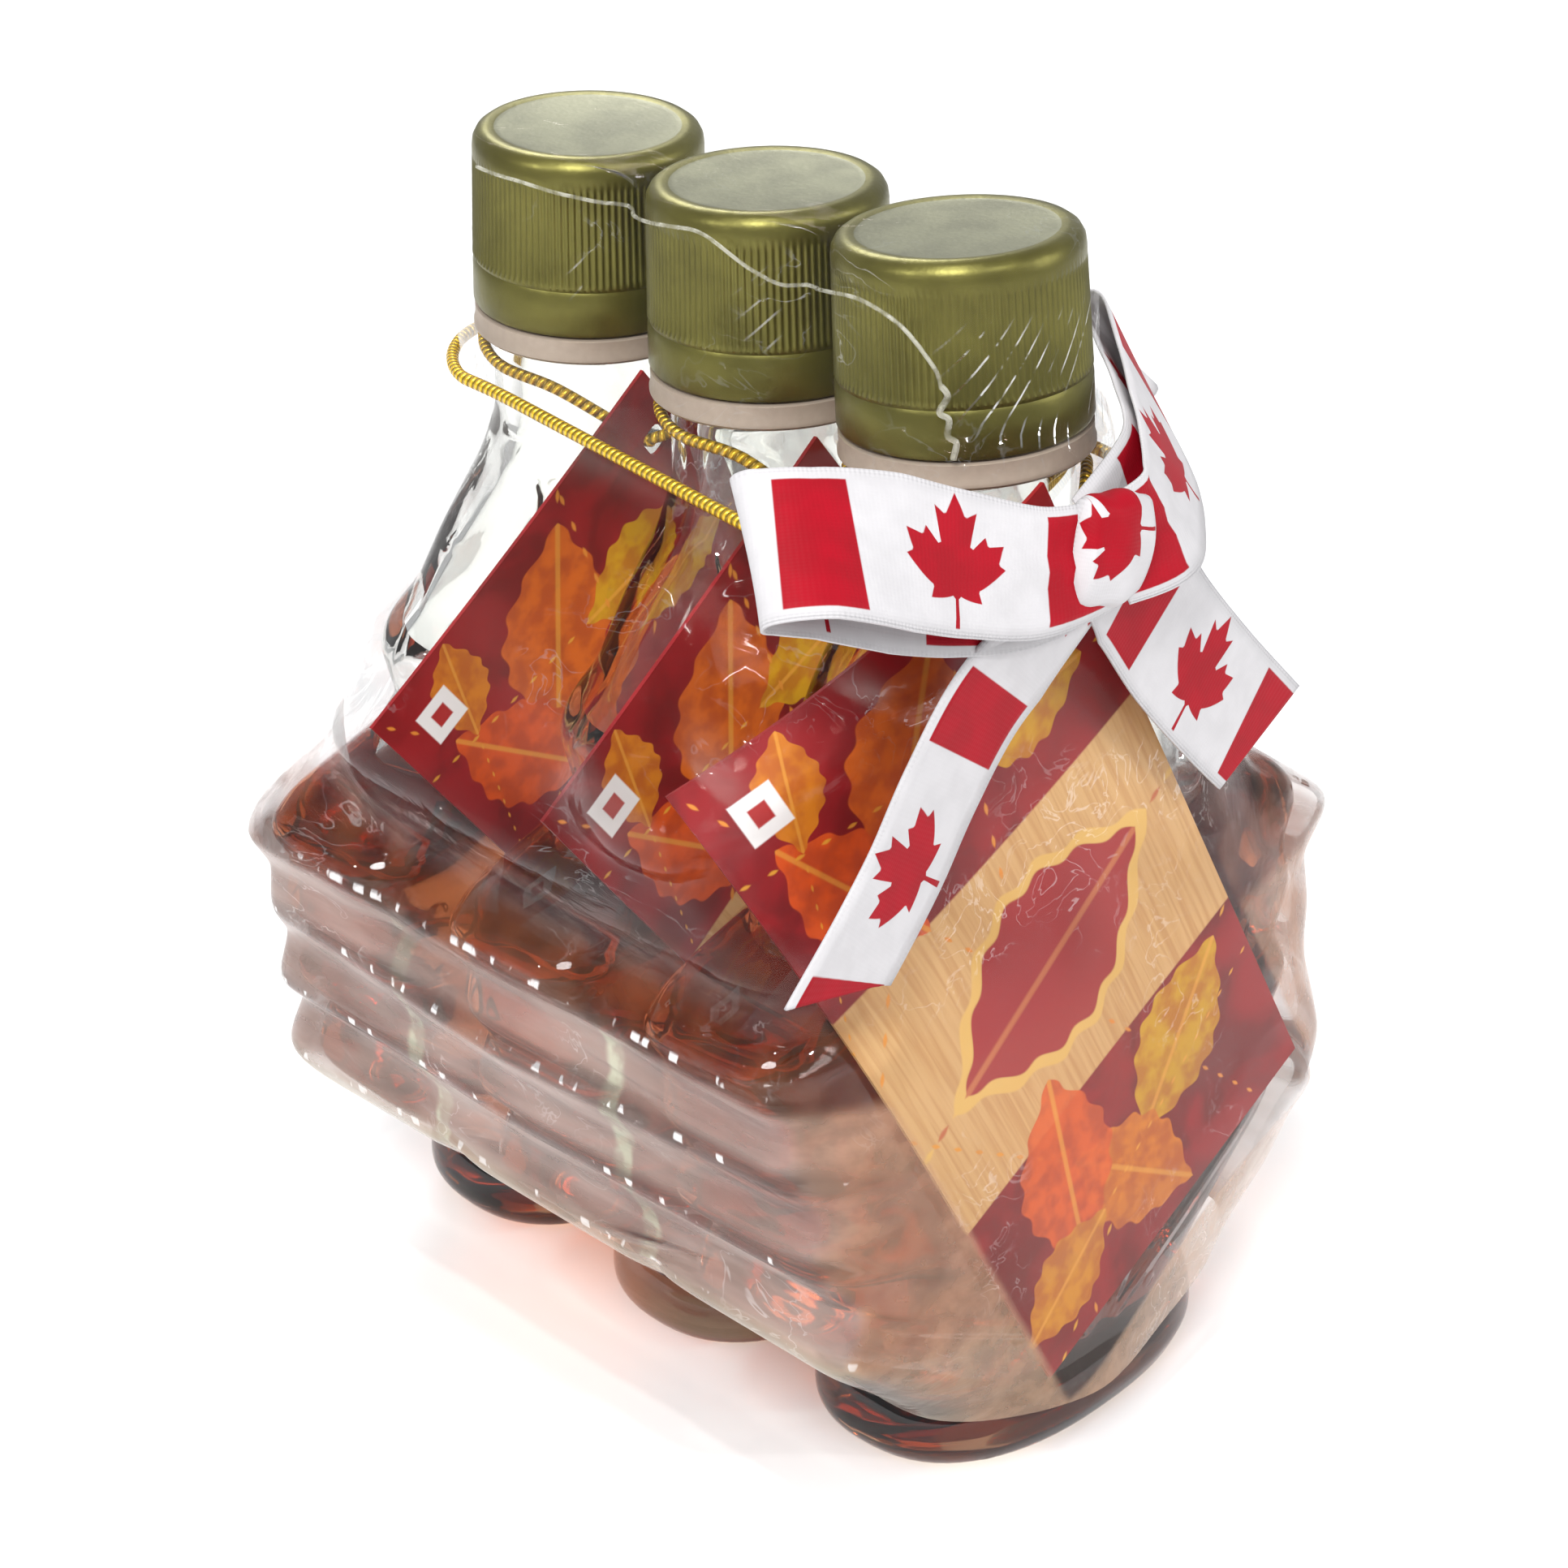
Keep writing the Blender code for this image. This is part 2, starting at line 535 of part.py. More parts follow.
def holder(name, foot_y, lean):
    """Empty that carries one bottle. Its lowest foot edge rests on the floor."""
    obj = bpy.data.objects.new(name, None)
    lowest = min(z * cos(lean) - between(z, DEPTH_STOPS) * abs(sin(lean)) for z, _ in LEAF_OUTLINE[:4])
    obj.location = (0.0, foot_y * MM, -lowest * MM)
    obj.rotation_euler = (lean, 0.0, 0.0)
    bpy.context.scene.collection.objects.link(obj)
    return obj


def main():
    clear_scene()
    glass = material("glass", (0.93, 0.95, 0.90), 0.04, alpha=0.35)
    amber = material("syrup", (0.24, 0.045, 0.008), 0.12)
    gold_cap = material("cap", (0.36, 0.33, 0.12), 0.34, 0.8)
    band = material("tamper_ring", (0.50, 0.43, 0.33), 0.4, 0.4)
    paper = material("card", (0.50, 0.02, 0.03), 0.35)
    elastic = material("elastic", (0.72, 0.46, 0.08), 0.35, 0.7)
    satin = material("ribbon", (0.92, 0.90, 0.90), 0.4)
    clear = material("film", (0.90, 0.92, 0.90), 0.08, alpha=0.3)

    wrapped = []
    places = (
        ("front", -FOOT_PITCH, -LEAN_FRONT),
        ("middle", 0.0, 0.0),
        ("back", FOOT_PITCH, LEAN_BACK),
    )
    for which, foot_y, lean in places:
        carrier = holder("holder_" + which, foot_y, lean)
        bottle_object = bottle("bottle_" + which, glass, carrier)
        syrup("syrup_" + which, amber, carrier, lean)
        cap_object = cap("cap_" + which, gold_cap, carrier)
        tamper_ring("tamper_ring_" + which, band, carrier)
        card_object = card("card_" + which, which, paper, carrier)
        cord_object = neck_cord("card_cord_" + which, which, elastic, carrier)
        wrapped += [bottle_object, cap_object, card_object, cord_object]

    points = wrapped_points(wrapped)
    top = float(points[:, 2].max()) + FILM_CLEAR
    heights = film_heights(top)
    radii = drawn_taut(first_radii(points, heights), heights)
    radii = drawn_taut(lifted_clear(radii, points, heights), heights)
    film("film", clear, radii, heights, top)
    pack_cord("bow_cord", elastic, radii, heights)
    bow("ribbon_bow", satin)


main()
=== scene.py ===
"""Gift pack of three leaf-shaped glass bottles of syrup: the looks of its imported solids.

Frame: X across the leaves, the front bottle towards -Y, Z up, origin on the floor under the
middle bottle. Lengths are in millimetres and become metres when a mesh is made.
"""
from math import cos, exp, log, pi, radians, sin

import bmesh
import bpy
import numpy as np
from bpy.props import FloatProperty, FloatVectorProperty, IntProperty, PointerProperty
from mathutils import Matrix, Quaternion, Vector


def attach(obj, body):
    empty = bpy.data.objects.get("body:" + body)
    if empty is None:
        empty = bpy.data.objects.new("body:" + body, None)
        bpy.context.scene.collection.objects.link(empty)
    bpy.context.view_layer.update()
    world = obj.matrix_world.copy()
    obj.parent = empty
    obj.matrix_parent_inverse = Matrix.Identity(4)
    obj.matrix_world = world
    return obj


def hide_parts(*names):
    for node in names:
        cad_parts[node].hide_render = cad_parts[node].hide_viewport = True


bl_info = {
    "name": "Syrup bottle gift pack",
    "version": (1, 0, 0),
    "blender": (4, 5, 0),
    "location": "View3D > Sidebar > Gift Pack",
    "description": "Builds the looks of a gift pack of leaf-shaped syrup bottles",
    "category": "Object",
}

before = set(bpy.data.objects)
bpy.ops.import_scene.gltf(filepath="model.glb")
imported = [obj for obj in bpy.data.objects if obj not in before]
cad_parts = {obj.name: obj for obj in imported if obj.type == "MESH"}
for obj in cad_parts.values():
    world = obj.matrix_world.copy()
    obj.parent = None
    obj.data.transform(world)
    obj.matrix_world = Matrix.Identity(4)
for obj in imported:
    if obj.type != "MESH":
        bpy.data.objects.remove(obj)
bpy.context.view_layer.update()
MM = 0.001

# Where each bottle stands: the foot's place in Y and its lean, as in the solids
FOOT_PITCH = 29.0
FOOT_HALF_DEPTH = 12.0
PLACES = {
    "front": (-FOOT_PITCH, radians(-3.2)),
    "middle": (0.0, 0.0),
    "back": (FOOT_PITCH, radians(2.8)),
}

# Half-width of the leaf at each height, then half-depth and corner power at a few heights
LEAF_OUTLINE = (
    (0.0, 18.6), (0.6, 20.0), (2.4, 20.9), (5.4, 20.6), (8.2, 19.2), (14.0, 24.6), (19.6, 30.8),
    (22.4, 33.1), (24.0, 33.0), (28.0, 30.6), (33.0, 35.4), (37.4, 33.0), (41.8, 36.1),
    (46.6, 35.1), (51.0, 37.8), (53.0, 36.5), (57.0, 26.4), (60.4, 23.2), (67.4, 25.7), (69.4, 24.8),
    (71.6, 21.0), (76.4, 17.6), (82.4, 11.3), (86.4, 9.5), (94.5, 9.3), (94.8, 8.7), (112.0, 8.5),
)
DEPTH_STOPS = (
    (0.0, 12.0), (0.6, 13.3), (2.4, 14.0), (5.4, 13.8), (8.2, 12.6), (14.0, 12.8), (24.0, 13.0),
    (33.0, 12.8), (42.0, 12.5), (51.0, 12.1), (57.0, 11.5), (66.0, 10.8), (82.4, 10.3),
    (86.4, 9.5), (94.5, 9.3), (94.8, 8.7), (112.0, 8.5),
)
CORNER_STOPS = ((0.0, 2.4), (8.2, 2.5), (20.0, 4.2), (50.0, 4.4), (55.8, 2.7), (70.0, 2.2), (80.0, 2.0))
HOLLOW = (
    (3.8, 15.6, 9.6), (9.6, 17.0, 10.2), (19.0, 27.2, 10.6), (45.0, 31.8, 10.1), (50.6, 34.0, 9.7),
    (55.0, 27.6, 9.2), (59.4, 20.6, 8.6), (67.4, 22.0, 8.2), (82.4, 8.2, 7.7), (87.0, 6.7, 6.7),
    (112.0, 6.7, 6.7),
)
SYRUP_LEVEL = 55.6
SYRUP_OVERLAP = 0.3
BOTTLE_SIDES = 72
EDGE_ROUNDING = 1.3

# Moulded relief of a leaf: heights of the lobes' tips, then the veins, each with its lean in
# degrees and its reach from the stem
LOBES = (51.3, 42.0, 33.0, 23.2)
STEM_HEIGHT = 10.0
VEINS = ((0.0, 68.0), (34.0, 44.0), (-34.0, 44.0), (62.0, 38.0), (-62.0, 38.0))

# Caps and tamper rings
CAP_TOP = 114.4
CAP_BOTTOM = 97.6
CAP_RADIUS_TOP = 10.8
CAP_RADIUS_BOTTOM = 11.2
CAP_RIM = 1.9
CAP_BORE = 9.1
RING_BOTTOM = 94.9
RING_TOP = 97.3
RING_BORE = 9.7

# Cards: sides, thickness, hole, and each one's hanging corner, turn and bend
CARD_LONG = 75.5
CARD_SHORT = 41.8
CARD_THICK = 0.4
CARD_ACROSS = 13.3
CARD_ACROSS_HEIGHT = 50.0
CARD_SLOPE = 0.026
HOLE_ALONG = 6.5
HOLE_DOWN = 3.4
HOLE_SIZE = 2.6
HOLE_MARGIN = 0.7
CARD_BEND_LENGTH = 50.0
CARD_CELLS = (24, 14)
CARDS = {
    "front": ((-4.3, 95.6), radians(-64.8), 9.0),
    "middle": ((-7.0, 95.4), radians(-53.5), 1.0),
    "back": ((-5.0, 95.0), radians(-52.5), 1.5),
}
# Printed leaves on the cards: middle along and down the card, turn, length, share of yellow
CARD_LEAVES = (
    (11.0, 23.0, 40.0, 22.0, 0.25), (17.0, 33.5, -25.0, 18.0, 0.1), (15.0, 12.0, 100.0, 17.0, 0.85),
    (5.5, 33.5, 20.0, 11.0, 0.5), (59.5, 12.0, 60.0, 20.0, 0.9), (66.5, 23.0, -35.0, 19.0, 0.45),
    (58.5, 29.5, 15.0, 21.0, 0.15), (68.5, 35.0, 75.0, 15.0, 0.65),
)
# The tan field between the red ones, the emblem in it and the small square in a corner
TAN_FIELD = (24.5, 53.0)
EMBLEM = (38.7, 20.5, 80.0)
EMBLEM_LENGTH = 29.0
HALO_LENGTH = 33.0
SQUARE = (5.6, CARD_SHORT - 5.4)

# Elastic cords
NECK_LOOP_RADIUS = 10.4
CORD_DIAMETER = 1.1
CORD_GAP = 0.3
PACK_CORD_DIAMETER = 1.2

# Film: how far it stands off the caps, how softly it bridges them, and the heights between
# which it starts to cling to them; its top, and the cells that are cut finer over the caps
FILM_OFF = 0.5
FILM_BRIDGE = 2.0
FILM_CLING_FROM = 97.5
FILM_CLING_TO = 101.0
FILM_TOP = 115.6
FILM_FINE_FROM = 95.0
FILM_FINE_CELL = 4.0
# Where it clings to the leaves' sides: up to a height, and outwards from a half-width
SIDE_TOP = 62.0
SIDE_FROM = 19.0
SIDE_OFF = 0.55
SIDE_DRAW = 4.5

# Weld seam of the film over the caps' left sides, and its crumpled end beside the front cap
SEAM_WIDTH = 0.38
SEAM = (
    (-11.4, 25.8, 113.0), (-11.2, 20.4, 112.7), (-9.1, 16.2, 111.7), (-7.4, 12.0, 110.9),
    (-9.6, 6.0, 112.0), (-11.6, -0.3, 113.0), (-11.1, -3.7, 112.8), (-9.1, -7.5, 109.9),
    (-7.6, -10.4, 108.7), (-10.4, -17.5, 110.8), (-11.6, -22.4, 111.6), (-11.1, -26.4, 110.2),
    (-10.0, -29.0, 107.0), (-9.7, -29.6, 105.3),
)
SEAM_END = (
    (-9.7, -29.6, 105.3), (-9.3, -30.0, 104.4), (-9.9, -29.6, 103.0), (-9.4, -30.2, 102.4),
    (-9.6, -30.2, 101.0), (-9.3, -30.9, 100.4), (-10.4, -31.4, 99.0),
)

# Ribbon bow: the solid's routes, but the right loop is drawn in closer to the cap and the
# right tail starts further behind it
RIBBON_WIDTH = 12.7
RIBBON_THICK = 0.28
RIBBON_GATHER = 0.72
KNOT_CENTRE = (-6.9, -45.1, 94.3)
KNOT_SIZE = (9.0, 5.2, 9.8)
LEFT_LOOP = (
    (-6.0, -45.6, 93.8), (-14.8, -45.2, 94.9), (-22.8, -44.0, 98.0), (-29.8, -42.8, 101.2),
    (-35.8, -41.2, 103.3), (-39.2, -38.4, 103.2), (-38.6, -36.6, 101.6), (-34.4, -37.4, 99.9),
    (-28.6, -39.2, 97.8), (-21.6, -41.6, 95.2), (-14.4, -43.6, 93.4), (-6.0, -44.2, 93.4),
)
RIGHT_LOOP = (
    (-6.0, -45.6, 94.0), (0.8, -45.2, 94.2), (6.6, -40.9, 95.3), (11.4, -35.8, 96.8),
    (15.4, -30.6, 98.4), (18.4, -26.4, 99.6), (18.9, -24.6, 99.5), (17.6, -25.3, 98.6),
    (14.7, -29.5, 97.8), (10.8, -34.7, 96.6), (6.0, -39.3, 95.0), (-6.0, -43.2, 93.6),
)
LEFT_TAIL = (
    (-6.4, -44.4, 93.0), (-14.0, -44.0, 88.4), (-18.9, -42.6, 83.6), (-23.6, -42.1, 77.6),
    (-27.6, -42.0, 72.0), (-31.8, -42.0, 67.4), (-35.6, -42.0, 63.7),
)
RIGHT_TAIL = (
    (-6.0, -44.4, 93.2), (-1.0, -43.2, 89.2), (5.2, -42.6, 81.2), (12.6, -42.2, 73.0),
    (19.7, -41.6, 65.9),
)
KNOT_ACROSS = (0.14, -0.1, -0.985)
LEFT_TIP_ACROSS = (-0.40, -0.65, -0.64)
RIGHT_TIP_ACROSS = (0.446, -0.128, -0.883)
RIGHT_START_ACROSS = (0.50, -0.22, -0.84)
LEFT_TAIL_ACROSS = (0.73, 0.12, -0.67)
RIGHT_TAIL_ACROSS = (-0.734, -0.045, -0.677)
LEFT_TURN = (0.0, 0.36)
RIGHT_TURN = (0.26, 0.44)
# Each length of ribbon: its route, its directions across at the knot and at the tip, where it
# turns from one to the other, the place of a printed bar and the slant of its cut end
RIBBONS = {
    "ribbon_loop_left": (LEFT_LOOP, KNOT_ACROSS, LEFT_TIP_ACROSS, LEFT_TURN, 32.0, 0.0),
    "ribbon_loop_right": (RIGHT_LOOP, RIGHT_START_ACROSS, RIGHT_TIP_ACROSS, RIGHT_TURN, 30.5, 0.0),
    "ribbon_tail_left": (LEFT_TAIL, LEFT_TAIL_ACROSS, LEFT_TAIL_ACROSS, None, 17.0, -3.5),
    "ribbon_tail_right": (RIGHT_TAIL, RIGHT_TAIL_ACROSS, RIGHT_TAIL_ACROSS, None, 10.0, -2.5),
}
PRINT_PERIOD = 26.8
# Outline of the printed leaf: 500 over its radius at each angle from its tip, in degrees
LEAF_RAYS = (
    (0.0, 0.217), (11.4, 0.297), (14.6, 0.299), (22.5, 0.255), (35.8, 0.535), (43.0, 0.520),
    (43.6, 0.316), (52.5, 0.334), (55.3, 0.327), (61.3, 0.244), (75.6, 0.300), (78.5, 0.297),
    (82.8, 0.267), (119.8, 0.472), (123.7, 0.463), (132.2, 0.365), (168.5, 0.637), (176.2, 0.58),
    (177.0, 0.289),
)

# Camera, fitted to the photograph
CAMERA_AZIMUTH = radians(-44.43)
CAMERA_ELEVATION = radians(27.95)
CAMERA_ROLL = radians(-1.62)
CAMERA_DISTANCE = 317.6
CAMERA_TARGET = (0.02, 0.0, 53.97)
CAMERA_LENS = 75.43

# Lamps: place and size in metres, and power
LAMP_AIM = Vector((0.0, 0.0, 0.05))
LAMPS = {
    "key": ((-0.55, -0.35, 0.75), 0.30, 7.0),
    "fill": ((0.55, -0.75, 0.45), 0.5, 3.0),
    "rear": ((0.35, 0.6, 0.7), 0.4, 5.0),
    "glint_left": ((-0.75, 0.1, 0.55), 0.05, 1.6),
    "glint_front": ((-0.1, -0.75, 0.75), 0.04, 1.6),
    "glint_top": ((-0.25, -0.15, 0.9), 0.04, 1.2),
}


def tint(name, text, colour):
    return FloatVectorProperty(name=name, description=text, default=colour, size=3,
                               subtype="COLOR", min=0.0, max=1.0)


class PackSizes(bpy.types.PropertyGroup):
    """Sizes of the fine details."""
    knurls: IntProperty(name="Knurls", description="Upright ribs round a cap", default=108)
    knurl_depth: FloatProperty(name="Knurl depth", description="Depth of the ribs on a cap",
                               default=0.26 * MM, unit="LENGTH")
    cling: FloatProperty(name="Cling",
                         description="How closely the film follows the leaves' sides, 0 to 1",
                         default=0.85, min=0.0, max=1.0, subtype="FACTOR")


class PackColours(bpy.types.PropertyGroup):
    """Colours of the pack's finishes."""
    syrup_light: tint("Light syrup", "Where the syrup lets light through", (0.56, 0.18, 0.065))
    syrup_dark: tint("Dark syrup", "Where the syrup is deep", (0.32, 0.07, 0.028))
    cap: tint("Cap", "Lacquer of the screw caps", (0.15, 0.138, 0.032))
    ring: tint("Tamper ring", "Band under a cap", (0.42, 0.34, 0.27))
    card_red: tint("Card red", "Outer fields of the cards", (0.30, 0.010, 0.014))
    card_tan: tint("Card tan", "Middle field of the cards", (0.66, 0.40, 0.17))
    elastic: tint("Elastic", "Metallic thread round the cords", (0.92, 0.58, 0.04))
    ribbon_red: tint("Ribbon red", "Print on the ribbon", (0.33, 0.002, 0.011))
    ribbon_white: tint("Ribbon white", "Ground of the ribbon", (0.54, 0.525, 0.535))
    # Milky haze of the film, partly painted reflection of the room's light
    haze_and_reflection: tint("Haze", "Milky bloom of the film down the sides", (0.37, 0.255, 0.215))
    low_haze_and_reflection: tint("Low haze", "Bloom of the film round the lowest lobes", (0.40, 0.33, 0.19))
    front_haze_and_reflection: tint("Front haze", "Bloom of the film on the front face", (0.36, 0.18, 0.10))


def maths_method(operation, swapped=False):
    """Method of a Value that adds a node of this operation."""
    def method(self, other):
        return self.look.maths(operation, *((other, self) if swapped else (self, other)))
    return method


class Value:
    """A number, colour or vector on its way through a material's nodes."""
    __add__ = maths_method("ADD")
    __radd__ = maths_method("ADD", swapped=True)
    __sub__ = maths_method("SUBTRACT")
    __rsub__ = maths_method("SUBTRACT", swapped=True)
    __mul__ = maths_method("MULTIPLY")
    __rmul__ = maths_method("MULTIPLY", swapped=True)
    __truediv__ = maths_method("DIVIDE")
    __rtruediv__ = maths_method("DIVIDE", swapped=True)
    __pow__ = maths_method("POWER")
    __rpow__ = maths_method("POWER", swapped=True)

    def __init__(self, look, socket):
        self.look = look
        self.socket = socket

    def __neg__(self):
        return self.look.maths("MULTIPLY", self, -1.0)

    def __abs__(self):
        return self.look.maths("ABSOLUTE", self)


class Look:
    """One finish: a material and the nodes that vary it."""

    def __init__(self, name, **constants):
        self.material = bpy.data.materials.new(name)
        self.material.use_nodes = True
        self.tree = self.material.node_tree
        self.shader = self.tree.nodes["Principled BSDF"]
        self.set(**constants)

    def set(self, **inputs):
        """Set or link the shader's sockets, named with underscores."""
        for name, value in inputs.items():
            self.feed(self.shader.inputs[name.replace("_", " ").title().replace("Ior", "IOR")], value)

    def feed(self, socket, value):
        if isinstance(value, Value):
            self.tree.links.new(value.socket, socket)
        elif hasattr(value, "__len__") and socket.type == "RGBA" and len(value) == 3:
            socket.default_value = (*value, 1.0)
        else:
            socket.default_value = value

    def node(self, kind, inputs, output=0, stops=None, **settings):
        """Add one node, with its settings, its stops and then its inputs."""
        node = self.tree.nodes.new("ShaderNode" + kind)
        for name, setting in settings.items():
            setattr(node, name, setting)
        if stops:
            ramp = node.color_ramp
            while len(ramp.elements) < len(stops):
                ramp.elements.new(0.5)
            for element, (place, shade) in zip(ramp.elements, stops):
                element.position = place
                element.color = (shade, shade, shade, 1.0)
        for key, value in inputs.items():
            self.feed(node.inputs[key], value)
        return Value(self, node.outputs[output])

    def maths(self, operation, *values):
        return self.node("Math", dict(enumerate(values)), operation=operation)

    def smooth(self, value, low, high):
        """0 below low and 1 above high, eased between. It falls where low is above high."""
        return self.node("MapRange", {"Value": value, "From Min": low, "From Max": high},
                         interpolation_type="SMOOTHSTEP")

    def mix(self, factor, one, other):
        """One colour where the factor is 0, the other where it is 1."""
        return self.node("Mix", {0: factor, 6: one, 7: other}, output=2, data_type="RGBA")

    def darken(self, factor, colour, share):
        """The colour where the factor is 0, and this share of it where it is 1."""
        return self.mix(factor, colour, tuple(share * part for part in colour))

    def places(self, source="Object"):
        return self.node("TexCoord", {}, output=source)

    def axes(self, vector):
        node = self.node("SeparateXYZ", {0: vector}).socket.node
        return [Value(self, socket) for socket in node.outputs]

    def combine(self, x, y, z):
        return self.node("CombineXYZ", {0: x, 1: y, 2: z})

    def stretch(self, vector, scale):
        return self.node("Mapping", {"Vector": vector, "Scale": scale})

    def clouds(self, vector, size, detail=2.0, distortion=0.0):
        """Soft noise from 0 to 1 whose patches are about this many millimetres wide."""
        return self.node("TexNoise", {"Vector": vector, "Scale": 1.0 / (size * MM),
                                      "Detail": detail, "Distortion": distortion})

    def bump(self, height, distance):
        """Relief of this many millimetres."""
        return self.node("Bump", {"Height": height, "Distance": distance * MM})

    def let_lamps_through(self, colour):
        """Lamps shine through the piece, tinted, so that what is inside it is lit."""
        clear = self.node("BsdfTransparent", {"Color": colour})
        lamp = self.node("LightPath", {}, output="Is Shadow Ray")
        shader = Value(self, self.shader.outputs[0])
        mixed = self.node("MixShader", {0: lamp, 1: shader, 2: clear})
        surface = self.tree.nodes["Material Output"].inputs["Surface"]
        self.tree.links.new(mixed.socket, surface)


def carrier(which):
    """Place of one bottle: its foot on the floor and its lean."""
    foot_y, lean = PLACES[which]
    lift = FOOT_HALF_DEPTH * sin(abs(lean))
    return Matrix.Translation((0.0, foot_y * MM, lift * MM)) @ Matrix.Rotation(lean, 4, "X")


def add_piece(name, bm, look, replaced, place=None, sharp=40.0, recalculate=True):
    """Turn a bmesh in millimetres into a finished piece in metres at its place."""
    bmesh.ops.scale(bm, vec=(MM, MM, MM), verts=bm.verts)
    if place is not None:
        bmesh.ops.transform(bm, matrix=place, verts=bm.verts)
    if recalculate:
        bmesh.ops.recalc_face_normals(bm, faces=bm.faces)
    mesh = bpy.data.meshes.new(name)
    bm.to_mesh(mesh)
    bm.free()
    mesh.shade_smooth()
    mesh.set_sharp_from_angle(angle=radians(sharp))
    for each in look if isinstance(look, tuple) else (look,):
        mesh.materials.append(each.material)
    obj = bpy.data.objects.new(name, mesh)
    bpy.context.scene.collection.objects.link(obj)
    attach(obj, "root")
    if replaced:
        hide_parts(*replaced)
    return obj


def skin(bm, rings, fill=True, around=True):
    """Extrude a line of points through the rings one after the other, and fill the ends."""
    row = [bm.verts.new(point) for point in rings[0]]
    first = 0 if around else 1
    start = [bm.edges.new((row[i - 1], row[i])) for i in range(first, len(row))]
    edges = start
    for ring in rings[1:]:
        made = bmesh.ops.extrude_edge_only(bm, edges=edges)["geom"]
        fresh = {item for item in made if isinstance(item, bmesh.types.BMVert)}
        after = {}
        for vert in fresh:
            for edge in vert.link_edges:
                if edge.other_vert(vert) not in fresh:
                    after[edge.other_vert(vert)] = vert
        row = [after[vert] for vert in row]
        for vert, point in zip(row, ring):
            vert.co = point
        edges = [bm.edges.get((row[i - 1], row[i])) for i in range(first, len(row))]
    if fill:
        for loop in (start, edges):
            bmesh.ops.edgeloop_fill(bm, edges=loop)


def between(height, stops):
    return float(np.interp(height, [stop[0] for stop in stops], [stop[1] for stop in stops]))


def held(value):
    """The value kept between 0 and 1."""
    return min(1.0, max(0.0, value))


def rounded_box(half_width, half_depth, power, sides):
    """Points of a superellipse: power 2 is an ellipse, more is a box with round corners."""
    points = []
    for i in range(sides):
        c, s = (wave(2.0 * pi * (i + 0.5) / sides) for wave in (cos, sin))
        x = half_width * abs(c) ** (2.0 / power) * (1 if c > 0 else -1)
        y = half_depth * abs(s) ** (2.0 / power) * (1 if s > 0 else -1)
        points.append((x, y))
    return points


def section(height, half_width, half_depth, grow=0.0, slope=0.0):
    """One outline of the leaf, level or tilted by a slope in Y."""
    power = between(height, CORNER_STOPS)
    points = rounded_box(half_width + grow, half_depth + grow, power, BOTTLE_SIDES)
    return [(x, y, height + slope * y) for x, y in points]


def eased(points, reach=EDGE_ROUNDING, steps=3):
    """The same line with each corner rounded over a short reach."""
    points = [Vector(point) for point in points]
    result = [points[0]]
    for a, b, c in zip(points, points[1:], points[2:]):
        near = b.lerp(a, min(0.45, reach / max((a - b).length, 0.01)))
        far = b.lerp(c, min(0.45, reach / max((c - b).length, 0.01)))
        for k in range(steps + 1):
            t = k / steps
            result.append(near.lerp(b, t).lerp(b.lerp(far, t), t))
    return result + [points[-1]]


def smooth_route(points, count, closed):
    """Points of a Catmull-Rom curve through the route's own points."""
    points = [Vector(p) for p in points]
    spans = len(points) if closed else len(points) - 1
    result = []
    for k in range(count):
        t = k * spans / (count if closed else count - 1)
        i = min(int(t), spans - 1)
        f = t - i
        p0, p1, p2, p3 = (points[n % spans if closed else min(max(n, 0), spans)]
                          for n in range(i - 1, i + 3))
        result.append(0.5 * (2 * p1 + (p2 - p0) * f + (2 * p0 - 5 * p1 + 4 * p2 - p3) * f * f
                             + (3 * p1 - p0 - 3 * p2 + p3) * f ** 3))
    return result


# Finishes


def glass_look():
    """Moulded clear glass with leaf veins and small dimples on its broad faces."""
    look = Look("moulded_glass", roughness=0.03, transmission_weight=1.0, ior=1.5)
    spots = look.places()
    x, _, z = look.axes(spots)
    veins = vein_relief(look, x, z)
    dimples = look.node("TexVoronoi", {"Vector": look.stretch(spots, (1, 0.2, 1)), "Scale": 150.0})
    dimples = look.smooth(dimples, 0.16, 0.06)
    swell = look.clouds(spots, 9.0, detail=1.0)
    foot = look.smooth(z, 11.0 * MM, 6.0 * MM)
    look.set(base_color=look.mix(foot, (0.96, 0.97, 0.94), (0.64, 0.30, 0.15)),
             normal=look.bump(veins * 0.6 + dimples * 0.25 + swell * 0.5, 0.4))
    look.let_lamps_through((0.93, 0.94, 0.90))
    return look


def vein_relief(look, x, z):
    """Ridges that fan out from the leaf's stem to its lobes."""
    relief = 0.0
    for lean, reach in VEINS:
        c, s = cos(radians(lean)), sin(radians(lean))
        side = abs(x * (c / MM) - (z / MM - STEM_HEIGHT) * s)
        along = x * (s / MM) + (z / MM - STEM_HEIGHT) * c
        ridge = look.smooth(side, 1.1, 0.3) * look.smooth(along, reach, reach - 6.0)
        relief = relief + ridge * look.smooth(along, 1.0, 4.0)
    return relief


def syrup_look(colours):
    """Deep red-brown syrup that clears to amber where it is thin."""
    look = Look("dark_syrup", roughness=0.08, transmission_weight=1.0, ior=1.02)
    spots = look.places()
    depth = look.clouds(spots, 14.0, detail=3.0, distortion=0.6)
    shade = look.smooth(depth, 0.40, 0.62)
    look.set(base_color=look.mix(shade, colours.syrup_light, colours.syrup_dark))
    look.let_lamps_through((0.80, 0.42, 0.22))
    return look


